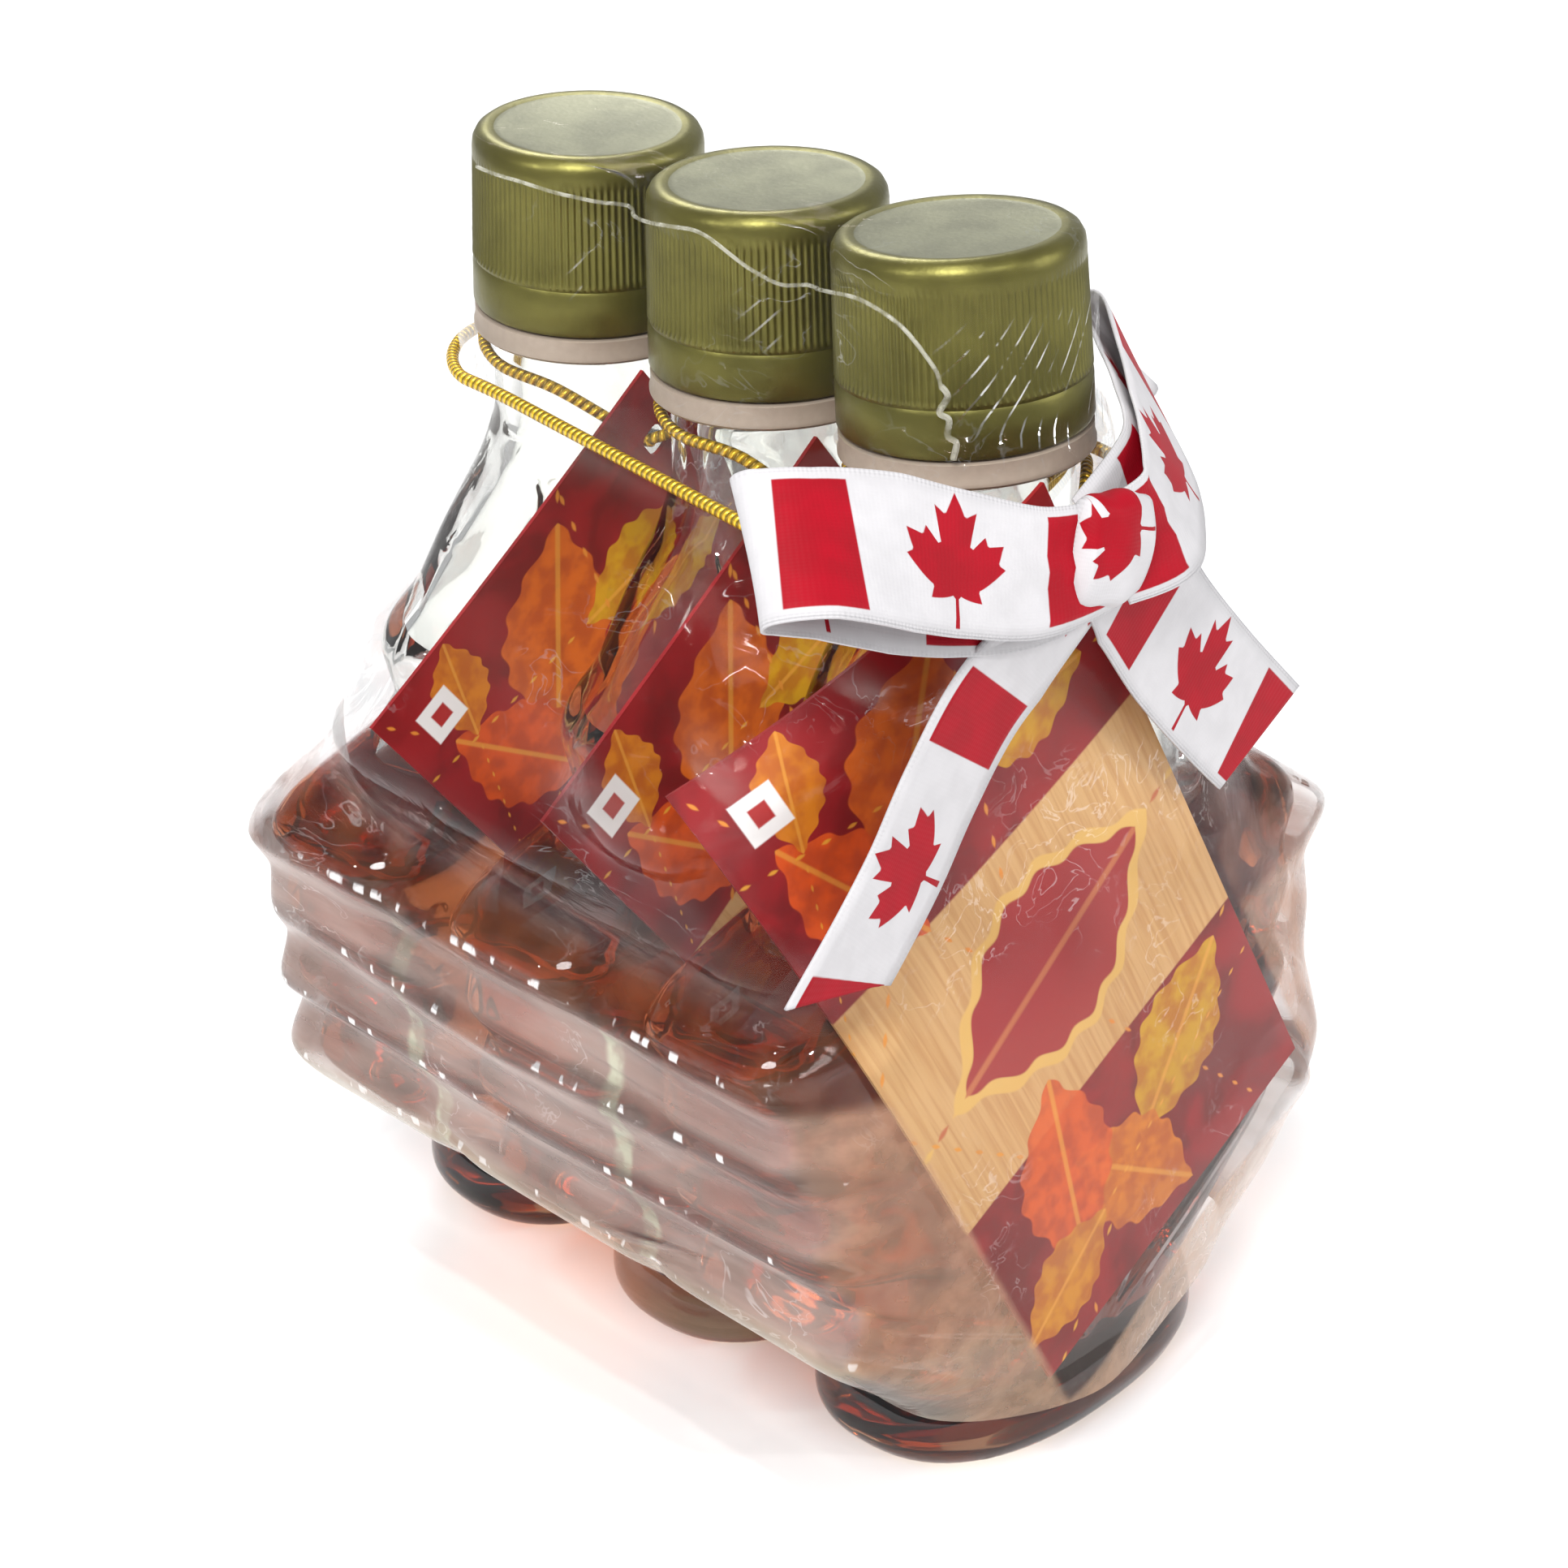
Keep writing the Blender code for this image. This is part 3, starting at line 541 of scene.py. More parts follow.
def cap_looks(colours):
    """Lacquered sheet metal: the skirt, and the greyer flat top."""
    result = []
    finishes = (("cap_skirt", colours.cap, 0.30), ("cap_top", (0.20, 0.20, 0.13), 0.38))
    for name, colour, rough in finishes:
        look = Look(name, metallic=0.75)
        spots = look.places()
        patches = look.clouds(spots, 6.0, detail=3.0)
        fine = look.clouds(spots, 0.5, detail=2.0)
        look.set(base_color=look.darken(look.smooth(patches, 0.35, 0.7), colour, 0.72),
                 roughness=rough + fine * 0.14, normal=look.bump(fine, 0.02))
        result.append(look)
    return tuple(result)


def ring_look(colours):
    look = Look("tamper_band", metallic=0.25)
    fine = look.clouds(look.places(), 0.8)
    look.set(base_color=look.darken(fine, colours.ring, 0.8), roughness=0.36 + fine * 0.12)
    return look


def oval_leaf(look, along, down, leaf):
    """Mask of one pointed oval leaf printed on a card, and its midrib."""
    centre_along, centre_down, turn, length = leaf
    c, s = cos(radians(turn)), sin(radians(turn))
    p = ((along - centre_along) * c + (down - centre_down) * s) / length + 0.5
    q = abs((down - centre_down) * c - (along - centre_along) * s) / length
    width = look.maths("SINE", look.maths("MAXIMUM", 0.0, look.maths("MINIMUM", p, 1.0)) * pi) * 0.30
    edge = look.maths("SINE", p * 40.0) * 0.016
    return look.smooth(width + edge - q, 0.0, 0.012), look.smooth(q, 0.02, 0.006)


def card_look(colours):
    """Coated card: red fields with leaves at both ends, and a tan field like planed wood between."""
    look = Look("printed_card", roughness=0.34, coat_weight=0.10, specular_ior_level=0.3)
    u, v, _ = look.axes(look.places("UV"))
    along, down = u * CARD_LONG, v * CARD_SHORT
    spots = look.places()
    grain = look.node("TexNoise", {"Vector": look.combine(along * 0.06, down * 1.5, 0.0), "Scale": 1.0,
                                   "Detail": 4.0, "Distortion": 0.6})
    wood = look.mix(look.smooth(grain, 0.35, 0.7), colours.card_tan, (0.56, 0.30, 0.11))
    mottle = look.clouds(spots, 9.0, detail=4.0, distortion=0.8)
    red = look.darken(look.smooth(mottle, 0.35, 0.65), colours.card_red, 0.55)
    start, end = TAN_FIELD
    middle = look.smooth(along, start, start + 0.3) * look.smooth(along, end, end - 0.3)
    colour = look.mix(middle, red, wood)
    flecks = look.clouds(spots, 2.2, detail=3.0)
    for *leaf, share in CARD_LEAVES:
        mask, rib = oval_leaf(look, along, down, leaf)
        body = (0.72 - 0.1 * share, 0.06 + 0.32 * share, 0.010)
        warm = (0.50, 0.045 + 0.16 * share, 0.01)
        paint = look.mix(look.smooth(flecks, 0.35, 0.65), body, warm)
        paint = look.mix(rib * 0.6, paint, (0.80, 0.38, 0.05))
        colour = look.mix(mask * 0.92, colour, paint)
    halo, _ = oval_leaf(look, along, down, (*EMBLEM, HALO_LENGTH))
    emblem, rib = oval_leaf(look, along, down, (*EMBLEM, EMBLEM_LENGTH))
    colour = look.mix(halo, colour, (0.74, 0.46, 0.13))
    colour = look.mix(emblem, colour, look.mix(rib * 0.7, (0.36, 0.022, 0.024), (0.60, 0.20, 0.07)))
    square = look.maths("MAXIMUM", abs(along - SQUARE[0]), abs(down - SQUARE[1]))
    colour = look.mix(look.smooth(square, 2.2, 2.0), colour, (0.85, 0.84, 0.82))
    colour = look.mix(look.smooth(square, 1.0, 0.8), colour, (0.40, 0.02, 0.02))
    look.set(base_color=colour)
    return look


def elastic_look(colours):
    """Gold thread wound round a rubber core, with painted shade in the grooves between its turns."""
    look = Look("gold_thread", metallic=0.55)
    u, v, _ = look.axes(look.places("UV"))
    turns = look.maths("SINE", u * 1000.0 * 2.0 * pi / 0.80 + v * 2.0 * pi)
    # Painted shade: a darker copy of the gold where the relief of the turns is low
    groove_shade = tuple(0.28 * part for part in colours.elastic)
    look.set(base_color=look.mix(look.smooth(turns, -0.9, 0.1), groove_shade, colours.elastic),
             roughness=0.30 - turns * 0.06, normal=look.bump(turns, 0.12))
    return look


def ribbon_look(colours):
    """White satin ribbon printed with red bars and leaves, woven with a fine rib."""
    look = Look("printed_satin", specular_ior_level=0.12)
    u, v, _ = look.axes(look.places("UV"))
    along, across = u * 1000.0, (v - 0.5) * RIBBON_WIDTH
    phase = look.maths("WRAP", along, PRINT_PERIOD / 2, -PRINT_PERIOD / 2)
    inside = look.smooth(abs(across), 5.45, 5.3)
    bar = look.smooth(abs(phase), 3.35, 3.2) * inside
    from_leaf = look.maths("WRAP", along + PRINT_PERIOD / 2, PRINT_PERIOD / 2, -PRINT_PERIOD / 2)
    down = across - 0.7
    radius = look.maths("SQRT", from_leaf ** 2.0 + down ** 2.0)
    angle = look.maths("ARCTAN2", abs(from_leaf), -down) / pi
    stops = [(degrees / 180.0, ray) for degrees, ray in LEAF_RAYS]
    ray = look.node("ValToRGB", {"Fac": angle}, stops=stops)
    leaf = look.smooth(radius * ray, 1.45, 1.40)
    print_mask = look.maths("MAXIMUM", bar, leaf)
    ribs = look.maths("SINE", along * 2.0 * pi / 0.42)
    threads = look.maths("SINE", across * 2.0 * pi / 0.30)
    weave = ribs * 0.6 + threads * 0.4
    edge = look.smooth(abs(across), 5.7, 6.1)
    shade = look.clouds(look.places(), 3.0)
    ground = look.darken(look.smooth(shade, 0.3, 0.7) * 0.5, colours.ribbon_white, 0.86)
    red = look.mix(look.smooth(shade, 0.3, 0.7), colours.ribbon_red, (0.28, 0.003, 0.010))
    look.set(base_color=look.mix(print_mask, ground, red), roughness=0.55 + edge * 0.2 + ribs * 0.03,
             normal=look.bump(weave * (0.3 + edge), 0.02))
    return look


def seam_look():
    """Film gathered into a white line."""
    look = Look("film_seam", base_color=(0.56, 0.55, 0.46), ior=1.5)
    gathers = look.clouds(look.places(), 1.4, detail=2.0)
    look.set(roughness=0.22 + gathers * 0.1, alpha=0.12 + 0.36 * look.smooth(gathers, 0.38, 0.62),
             normal=look.bump(gathers, 0.3))
    return look


def card_field(look, x, z):
    """1 where the front card lies against the film, as seen along Y."""
    (corner_x, corner_z), turn, _ = CARDS["front"]
    right, rise = x / MM - corner_x, z / MM - corner_z
    along = right * cos(turn) + rise * sin(turn)
    down = right * cos(turn - pi / 2) + rise * sin(turn - pi / 2)
    return (look.smooth(along, -0.5, 0.5) * look.smooth(along, CARD_LONG + 0.5, CARD_LONG - 0.5)
            * look.smooth(down, -0.5, 0.5) * look.smooth(down, CARD_SHORT + 0.5, CARD_SHORT - 0.5))


def film_look(colours):
    """Thin clear film: milky, with painted reflection, where it is drawn over the bottles' sides, with
    painted shade over the shoulders and painted highlights on bright creases.
    """
    look = Look("shrink_film", ior=1.5)
    spots = look.places()
    x, y, z = look.axes(spots)

    def height(low, high):
        """0 below low and 1 above high, or the other way round where low is the higher one."""
        return look.smooth(z, low * MM, high * MM)

    facing, ahead, up = look.axes(look.node("NewGeometry", {}, output="Normal"))
    side = look.smooth(abs(facing), 0.45, 0.85)
    front = look.smooth(ahead, -0.45, -0.85)
    card = card_field(look, x, z) * front
    wall = height(51.0, 48.5)
    above = height(48.5, 51.0)

    # Milky haze with painted reflection: on the walls and beside the necks, less on the lobes' tips;
    # painted shade over the shoulders
    streaks = look.clouds(look.stretch(spots, (1.0, 0.12, 1.0)), 2.6, detail=3.0)
    patches = look.clouds(spots, 16.0, detail=2.0)
    haze_and_painted_light = wall * (0.10 + 0.52 * side + 0.48 * front) * (1.0 - 0.95 * card)
    haze_and_painted_light = haze_and_painted_light * (0.75 + 0.4 * look.smooth(streaks, 0.3, 0.7))
    hanging = height(72.0, 84.0) * height(97.0, 90.0) * side
    # Painted shade: patches of dark film over the shoulders
    shoulder_shade = above * height(68.0, 58.0) * (1.0 - card)
    shoulder_shade = shoulder_shade * look.smooth(look.clouds(spots, 7.0, detail=2.0), 0.25, 0.75)
    off_lobe = z
    for lobe in LOBES:
        off_lobe = look.maths("MINIMUM", off_lobe, abs(z - lobe * MM))
    pressed = look.smooth(off_lobe, 2.0 * MM, 0.5 * MM) * side * height(24.0, 31.0)
    haze_and_painted_light = haze_and_painted_light * (0.8 + 0.3 * look.smooth(patches, 0.35, 0.6)) * (1.0 - 0.55 * pressed)
    haze_and_painted_light = 0.012 + haze_and_painted_light + hanging * 0.10 + shoulder_shade * 0.34

    # Painted reflections: bright creases, glints along the lobes' tips and wrinkles before the front
    # cap
    creases = look.clouds(look.stretch(spots, (1.0, 0.5, 1.0)), 5.0, detail=3.0, distortion=1.4)
    lines = look.smooth(abs(creases - 0.5), 0.014, 0.003) * look.smooth(patches, 0.50, 0.66)
    ridge = look.smooth(off_lobe, 0.55 * MM, 0.2 * MM)
    wrinkle_glints = look.maths("SINE", (z - x * 1.5) * (2.0 * pi / (2.4 * MM)))
    wrinkle_glints = look.smooth(wrinkle_glints, 0.90, 0.99) * look.smooth(creases, 0.44, 0.56) * front
    wrinkle_glints = wrinkle_glints * height(98.0, 100.0) * height(111.0, 108.0)
    dashes = look.clouds(look.stretch(spots, (0.3, 1.0, 0.3)), 1.6, detail=2.0)
    glints = ridge * side * look.smooth(dashes, 0.58, 0.64)
    rim = look.node("Fresnel", {"IOR": 1.4})
    level = look.smooth(up, 0.35, 0.8)
    calm = 1.0 - 0.8 * look.maths("MAXIMUM", level, height(97.0, 101.0))
    shine = look.maths("MINIMUM", rim * 0.42 * calm + lines * 0.16 + glints * 0.7 + wrinkle_glints * 0.5, 0.9)

    # Colour, with a pale painted highlight where the film is gathered between two bottles
    low = height(25.0, 20.0) * (0.25 + 0.75 * side)
    colour = look.mix(low, look.mix(front, colours.haze_and_reflection, colours.front_haze_and_reflection), colours.low_haze_and_reflection)
    waver = (look.clouds(spots, 5.0) - 0.5) * (2.0 * MM)
    # Painted highlight: a pale, ragged stripe between two bottles
    gathered = look.smooth(abs(abs(y + waver) - 14.6 * MM), 1.5 * MM, 0.7 * MM) * side
    ragged = look.smooth(look.clouds(spots, 3.2, detail=3.0), 0.42, 0.58)
    gathered = gathered * wall * (0.35 + 0.65 * ragged)
    colour = look.mix(gathered * 0.85, colour, (0.62, 0.62, 0.46))
    # Painted shade: the film above the lobes is dark red-brown
    colour = look.mix(above, colour, (0.26, 0.075, 0.022))
    # Pale haze with painted reflection beside the necks
    colour = look.mix(hanging, colour, (0.66, 0.60, 0.54))
    total = haze_and_painted_light + shine
    look.set(base_color=look.mix(shine / total, colour, (0.96, 0.96, 0.96)), metallic=shine / total,
             alpha=look.maths("MINIMUM", total, 0.92), roughness=0.06 + haze_and_painted_light * 0.4,
             normal=look.bump(creases, 0.25))
    return look


# Pieces


def hollow_at(height):
    """Half-width and half-depth of the hollow at a height."""
    return [between(height, [(row[0], row[i]) for row in HOLLOW]) for i in (1, 2)]


def make_bottle(which, look):
    """Glass with its moulded outline, solid up to the syrup's level and hollow above it."""
    lean = PLACES[which][1]
    outline = eased([(z, w, 0) for z, w in LEAF_OUTLINE])
    outer = [section(z, w, between(z, DEPTH_STOPS)) for z, w, _ in outline]
    above = [row for row in HOLLOW if row[0] > SYRUP_LEVEL + 1.0]
    inner = [section(*row) for row in reversed(above)]
    inner.append(section(SYRUP_LEVEL, *hollow_at(SYRUP_LEVEL), slope=-lean))
    bm = bmesh.new()
    skin(bm, outer + inner)
    add_piece("glass_" + which, bm, look, ["bottle_" + which], carrier(which))


def make_syrup(which, look):
    """Syrup that reaches just into the wall of the glass."""
    lean = PLACES[which][1]
    below = [row for row in HOLLOW if row[0] < SYRUP_LEVEL - 1.0]
    rings = [section(*row, grow=SYRUP_OVERLAP) for row in eased(below, reach=2.5)]
    half = SYRUP_OVERLAP / 2
    rings.append(section(SYRUP_LEVEL + half, *hollow_at(SYRUP_LEVEL), grow=half, slope=-lean))
    bm = bmesh.new()
    skin(bm, rings)
    add_piece("liquid_" + which, bm, look, ["syrup_" + which], carrier(which))


def turned(bm, profile, sides):
    """Solid of revolution about Z from (radius, height) points, closed or from axis to axis."""
    verts = [bm.verts.new((radius, 0.0, height)) for radius, height in profile]
    first = 1 if profile[0][0] == 0.0 else 0
    edges = [bm.edges.new((verts[i - 1], verts[i])) for i in range(first, len(verts))]
    bmesh.ops.spin(bm, geom=verts + edges, cent=(0, 0, 0), axis=(0, 0, 1), angle=2.0 * pi,
                   steps=sides, use_merge=True)
    bmesh.ops.remove_doubles(bm, verts=bm.verts, dist=0.001)


def make_cap(which, looks, sizes):
    """Screw cap: flat top inside a rolled rim, knurled skirt and a smooth band below."""
    rim, low, top, base = CAP_RADIUS_TOP, CAP_RADIUS_BOTTOM, CAP_TOP, CAP_BOTTOM
    bm = bmesh.new()
    turned(bm, (
        (0.0, top - 0.2), (rim - 2.6, top - 0.2), (rim - 2.1, top - 0.12), (rim - 1.6, top),
        (rim - 1.0, top - 0.06), (rim - 0.45, top - 0.45), (rim - 0.1, top - 1.1),
        (rim, top - CAP_RIM), (rim, top - 2.6), (rim + 0.02, top - 3.1), (rim + 0.28, base + 5.2),
        (rim + 0.3, base + 4.7), (low - 0.3, base + 4.3), (low - 0.1, base + 3.9),
        (low - 0.05, base + 0.4), (low - 0.25, base), (CAP_BORE, base), (CAP_BORE, top - 2.0),
        (0.0, top - 2.0),
    ), 4 * sizes.knurls)
    depth = sizes.knurl_depth / MM
    for vert in bm.verts:
        radius = vert.co.xy.length
        if base + 5.0 < vert.co.z < top - 2.9 and radius > rim - 0.5:
            wave = 0.5 - 0.5 * cos(sizes.knurls * Vector((1.0, 0.0)).angle_signed(vert.co.xy))
            vert.co.xy *= 1.0 - depth * wave / radius
    for face in bm.faces:
        centre = face.calc_center_median()
        face.material_index = int(centre.xy.length < rim - CAP_RIM and centre.z > top - 1.0)
    add_piece("screw_cap_" + which, bm, looks, ["cap_" + which], carrier(which),
              sharp=50.0)


def make_ring(which, look):
    """Tamper band with a small bead at its lower edge."""
    bm = bmesh.new()
    r, top, base = CAP_RADIUS_BOTTOM, RING_TOP, RING_BOTTOM
    turned(bm, (
        (RING_BORE, top), (r - 0.35, top), (r - 0.15, top - 0.15), (r - 0.15, base + 0.9),
        (r, base + 0.65), (r, base + 0.3), (r - 0.3, base), (RING_BORE, base),
    ), 96)
    add_piece("tamper_band_" + which, bm, look, ["tamper_ring_" + which],
              carrier(which))


def card_point(which, along, down, outwards=0.0):
    """Point of a card from its hanging corner: along the long side, down the short side."""
    (corner_x, corner_z), turn, bend = CARDS[which]
    free = (down / CARD_SHORT) ** 2 * max(0.0, 1.0 - along / CARD_BEND_LENGTH) ** 2
    down = down * (1.0 - 0.03 * free * bend / 9.0)
    x = corner_x + along * cos(turn) + down * cos(turn - pi / 2)
    z = corner_z + along * sin(turn) + down * sin(turn - pi / 2)
    y = -CARD_ACROSS + CARD_SLOPE * (z - CARD_ACROSS_HEIGHT) + bend * free
    return Vector((x, y - outwards, z))


def grid_lines(length, hole, cells):
    """Even lines along a side of a card, with two of them moved to either side of the hole."""
    half = HOLE_SIZE / 2 + HOLE_MARGIN
    lines = [length * k / cells for k in range(cells + 1)]
    near = min(range(1, cells), key=lambda k: abs(lines[k] - (hole - half)))
    lines[near], lines[near + 1] = hole - half, hole + half
    return lines


def make_card(which, look):
    """Card with a punched hole, curved back at the corner that the film pulls on."""
    columns, rows = CARD_CELLS
    along = grid_lines(CARD_LONG, HOLE_ALONG, columns)
    down = grid_lines(CARD_SHORT, HOLE_DOWN, rows)
    bm = bmesh.new()
    uv = bm.loops.layers.uv.new("UVMap")
    bmesh.ops.create_grid(bm, x_segments=columns, y_segments=rows, size=0.5, calc_uvs=True)
    for vert in bm.verts:
        i, j = round((vert.co.x + 0.5) * columns), round((vert.co.y + 0.5) * rows)
        vert.co = (along[i], down[j], 0.0)
    middle = Vector((HOLE_ALONG, HOLE_DOWN, 0.0))
    cell = min(bm.faces, key=lambda face: (face.calc_center_median() - middle).length)
    bm.normal_update()
    bmesh.ops.inset_individual(bm, faces=[cell], thickness=HOLE_MARGIN, use_even_offset=True)
    bmesh.ops.bevel(bm, geom=list(cell.verts), offset=HOLE_SIZE * 0.29, affect="VERTICES",
                    segments=3, profile=0.5, material=-1)
    hole = min(bm.faces, key=lambda face: (face.calc_center_median() - middle).length)
    bmesh.ops.delete(bm, geom=[hole], context="FACES")
    for face in bm.faces:
        for loop in face.loops:
            loop[uv].uv = (loop.vert.co.x / CARD_LONG, loop.vert.co.y / CARD_SHORT)
    for vert in bm.verts:
        vert.co = card_point(which, vert.co.x, vert.co.y)
    bmesh.ops.recalc_face_normals(bm, faces=bm.faces)
    bmesh.ops.solidify(bm, geom=list(bm.faces), thickness=CARD_THICK)
    add_piece("printed_card_" + which, bm, look, ["card_" + which], carrier(which))


def tube(bm, points, diameter, closed, sides=10):
    """Round cord along points, with its length and its turn as the UV map."""
    uv = bm.loops.layers.uv.verify()
    count = len(points)
    side = Vector((0.0, 0.0, 1.0))
    rings, lengths = [], [0.0]
    for i in range(count + (1 if closed else 0)):
        here = points[i % count]
        after = points[(i + 1) % count] if closed or i + 1 < count else here
        before = points[i - 1] if closed or i else here
        ahead = (after - before).normalized()
        side = (side - ahead * side.dot(ahead)).normalized()
        other = ahead.cross(side)
        rings.append([here + (side * cos(a) + other * sin(a)) * diameter / 2
                      for a in (2.0 * pi * k / sides for k in range(sides))])
        if i:
            lengths.append(lengths[-1] + (here - points[i - 1]).length)
    known = set(bm.faces)
    skin(bm, rings, fill=not closed)
    place = {tuple(round(c, 5) for c in Vector(p)): (lengths[i], k / sides)
             for i, ring in enumerate(rings) for k, p in enumerate(ring)}
    for face in bm.faces:
        if face in known:
            continue
        spots = [place[tuple(round(c, 5) for c in loop.vert.co)] for loop in face.loops]
        for loop, (length, turn) in zip(face.loops, spots):
            if turn == 0.0 and max(spot[1] for spot in spots) > 0.5:
                turn = 1.0
            loop[uv].uv = (length * MM, turn)
    bmesh.ops.remove_doubles(bm, verts=bm.verts, dist=0.002)


def make_neck_cord(which, look):
    """Elastic round a neck: down to the card, out through its hole and back over its top edge."""
    r = NECK_LOOP_RADIUS
    reach = CARD_THICK / 2 + CORD_GAP + CORD_DIAMETER / 2 + 0.1
    hole = card_point(which, HOLE_ALONG, HOLE_DOWN)
    behind = card_point(which, HOLE_ALONG, HOLE_DOWN + 0.4, -1.3)
    before = card_point(which, HOLE_ALONG, HOLE_DOWN - 1.7, reach + 0.25)
    over = card_point(which, HOLE_ALONG, -1.6, 0.1)
    round_neck = [(-r * sin(a), r * cos(a), 93.6 - 1.6 * (a / 2.1) ** 2) for a in (0.0, 0.7, 1.4, 2.1)]
    back_again = [(r * sin(a), -r * cos(a), 92.6) for a in (0.5, 1.1, 1.8, 2.5)]
    route = smooth_route(round_neck + [behind, hole, before, over] + back_again, 72, True)
    bm = bmesh.new()
    tube(bm, route, CORD_DIAMETER, True)
    add_piece("elastic_" + which, bm, look, ["card_cord_" + which], carrier(which))


def make_pack_cord(look):
    """Elastic round the whole pack, along the middle line of its solid."""
    corners = [v.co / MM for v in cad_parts["bow_cord"].data.vertices]
    height = sum(point.z for point in corners) / len(corners)
    middle = Vector((sum(p.x for p in corners), sum(p.y for p in corners), 0.0)) / len(corners)
    spread = sorted(corners, key=lambda p: Vector((1.0, 0.0)).angle_signed((p - middle).xy))
    groups = []
    for point in spread:
        if groups and (point - groups[-1][0]).length < PACK_CORD_DIAMETER * 1.2:
            groups[-1].append(point)
        else:
            groups.append([point])
    line = [sum(group, Vector()) / len(group) for group in groups if len(group) > 3]
    line = [Vector((p.x, p.y, height)) for p in line]
    bm = bmesh.new()
    tube(bm, smooth_route(line, 8 * len(line), True), PACK_CORD_DIAMETER, True)
    add_piece("pack_elastic", bm, look, ["bow_cord"])


def ribbon_strip(name, look, route, start, across, turn, bar_at, slant, count=96, cells=8):
    """Sheet of ribbon along a route from the knot, gathered where it enters the knot."""
    centre = smooth_route(route, count, False)
    start, far = Vector(start), Vector(across)
    length, rings, lengths = 0.0, [], []
    for i, point in enumerate(centre):
        length += (point - centre[i - 1]).length if i else 0.0
        lengths.append(length)
        t = i / (count - 1)
        from_knot = min(t, 1.0 - t) if turn else t
        open_share = min(1.0, from_knot / 0.25)
        ahead = (centre[min(i + 1, count - 1)] - centre[max(i - 1, 0)]).normalized()
        turned_share = float(np.interp(from_knot, turn, (0.0, 1.0))) if turn else 1.0
        side = start.lerp(far, turned_share)
        side = (side - ahead * side.dot(ahead)).normalized()
        face = ahead.cross(side)
        half = RIBBON_WIDTH / 2 * (RIBBON_GATHER + (1.0 - RIBBON_GATHER) * open_share)
        cut = slant * max(0.0, 1.0 - (count - 1 - i) / (count * 0.12))
        ring = []
        for k in range(cells + 1):
            s = 2.0 * k / cells - 1.0
            gather = 0.22 * (1.0 - open_share) * cos(3.0 * pi * s)
            ring.append(point + side * half * s + ahead * cut * s + face * gather)
        rings.append(ring)
    bm = bmesh.new()
    uv = bm.loops.layers.uv.verify()
    skin(bm, rings, fill=False, around=False)
    bm.verts.ensure_lookup_table()
    for face in bm.faces:
        for loop in face.loops:
            i, k = divmod(loop.vert.index, cells + 1)
            loop[uv].uv = ((lengths[i] - bar_at) * MM, k / cells)
    piece = add_piece(name, bm, look, ["ribbon_bow"], recalculate=False)
    wall = piece.modifiers.new("wall", "SOLIDIFY")
    wall.thickness = RIBBON_THICK * MM
    wall.offset = 0.0
    length * MM


def make_knot(look):
    """Ribbon wrapped tightly round the middle of the bow, in soft folds."""
    bm = bmesh.new()
    bmesh.ops.create_cube(bm, size=1.0)
    bmesh.ops.subdivide_edges(bm, edges=list(bm.edges), cuts=11, use_grid_fill=True)
    uv = bm.loops.layers.uv.verify()
    for face in bm.faces:
        for loop in face.loops:
            x, y, z = loop.vert.co
            unrolled = x + (0.5 + y) * (1.0 if x > 0.49 else -1.0 if x < -0.49 else 0.0)
            loop[uv].uv = ((z * KNOT_SIZE[2] + 10.6) * MM, 0.64 + unrolled * 0.62)
    for vert in bm.verts:
        x, y, z = vert.co * 2.0
        round_off = Vector((x * (1 - 0.30 * y * y) ** 0.5 * (1 - 0.22 * z * z) ** 0.5,
                            y * (1 - 0.40 * x * x) ** 0.5 * (1 - 0.45 * z * z) ** 0.5,
                            z * (1 - 0.35 * y * y) ** 0.5 * (1 - 0.20 * x * x) ** 0.5))
        fold = 1.0 - 0.10 * (0.5 - 0.5 * cos(5.0 * x + 1.4 * z)) * (1.0 - z * z * 0.5)
        vert.co = Vector((round_off.x / 2 * KNOT_SIZE[0], round_off.y / 2 * KNOT_SIZE[1] * fold,
                          round_off.z / 2 * KNOT_SIZE[2] * (1.0 + 0.03 * sin(6.0 * x))))
    bmesh.ops.rotate(bm, cent=(0, 0, 0), matrix=Matrix.Rotation(radians(14.0), 3, "Y"), verts=bm.verts)
    bmesh.ops.translate(bm, vec=KNOT_CENTRE, verts=bm.verts)
    add_piece("knot", bm, look, ["ribbon_bow"])


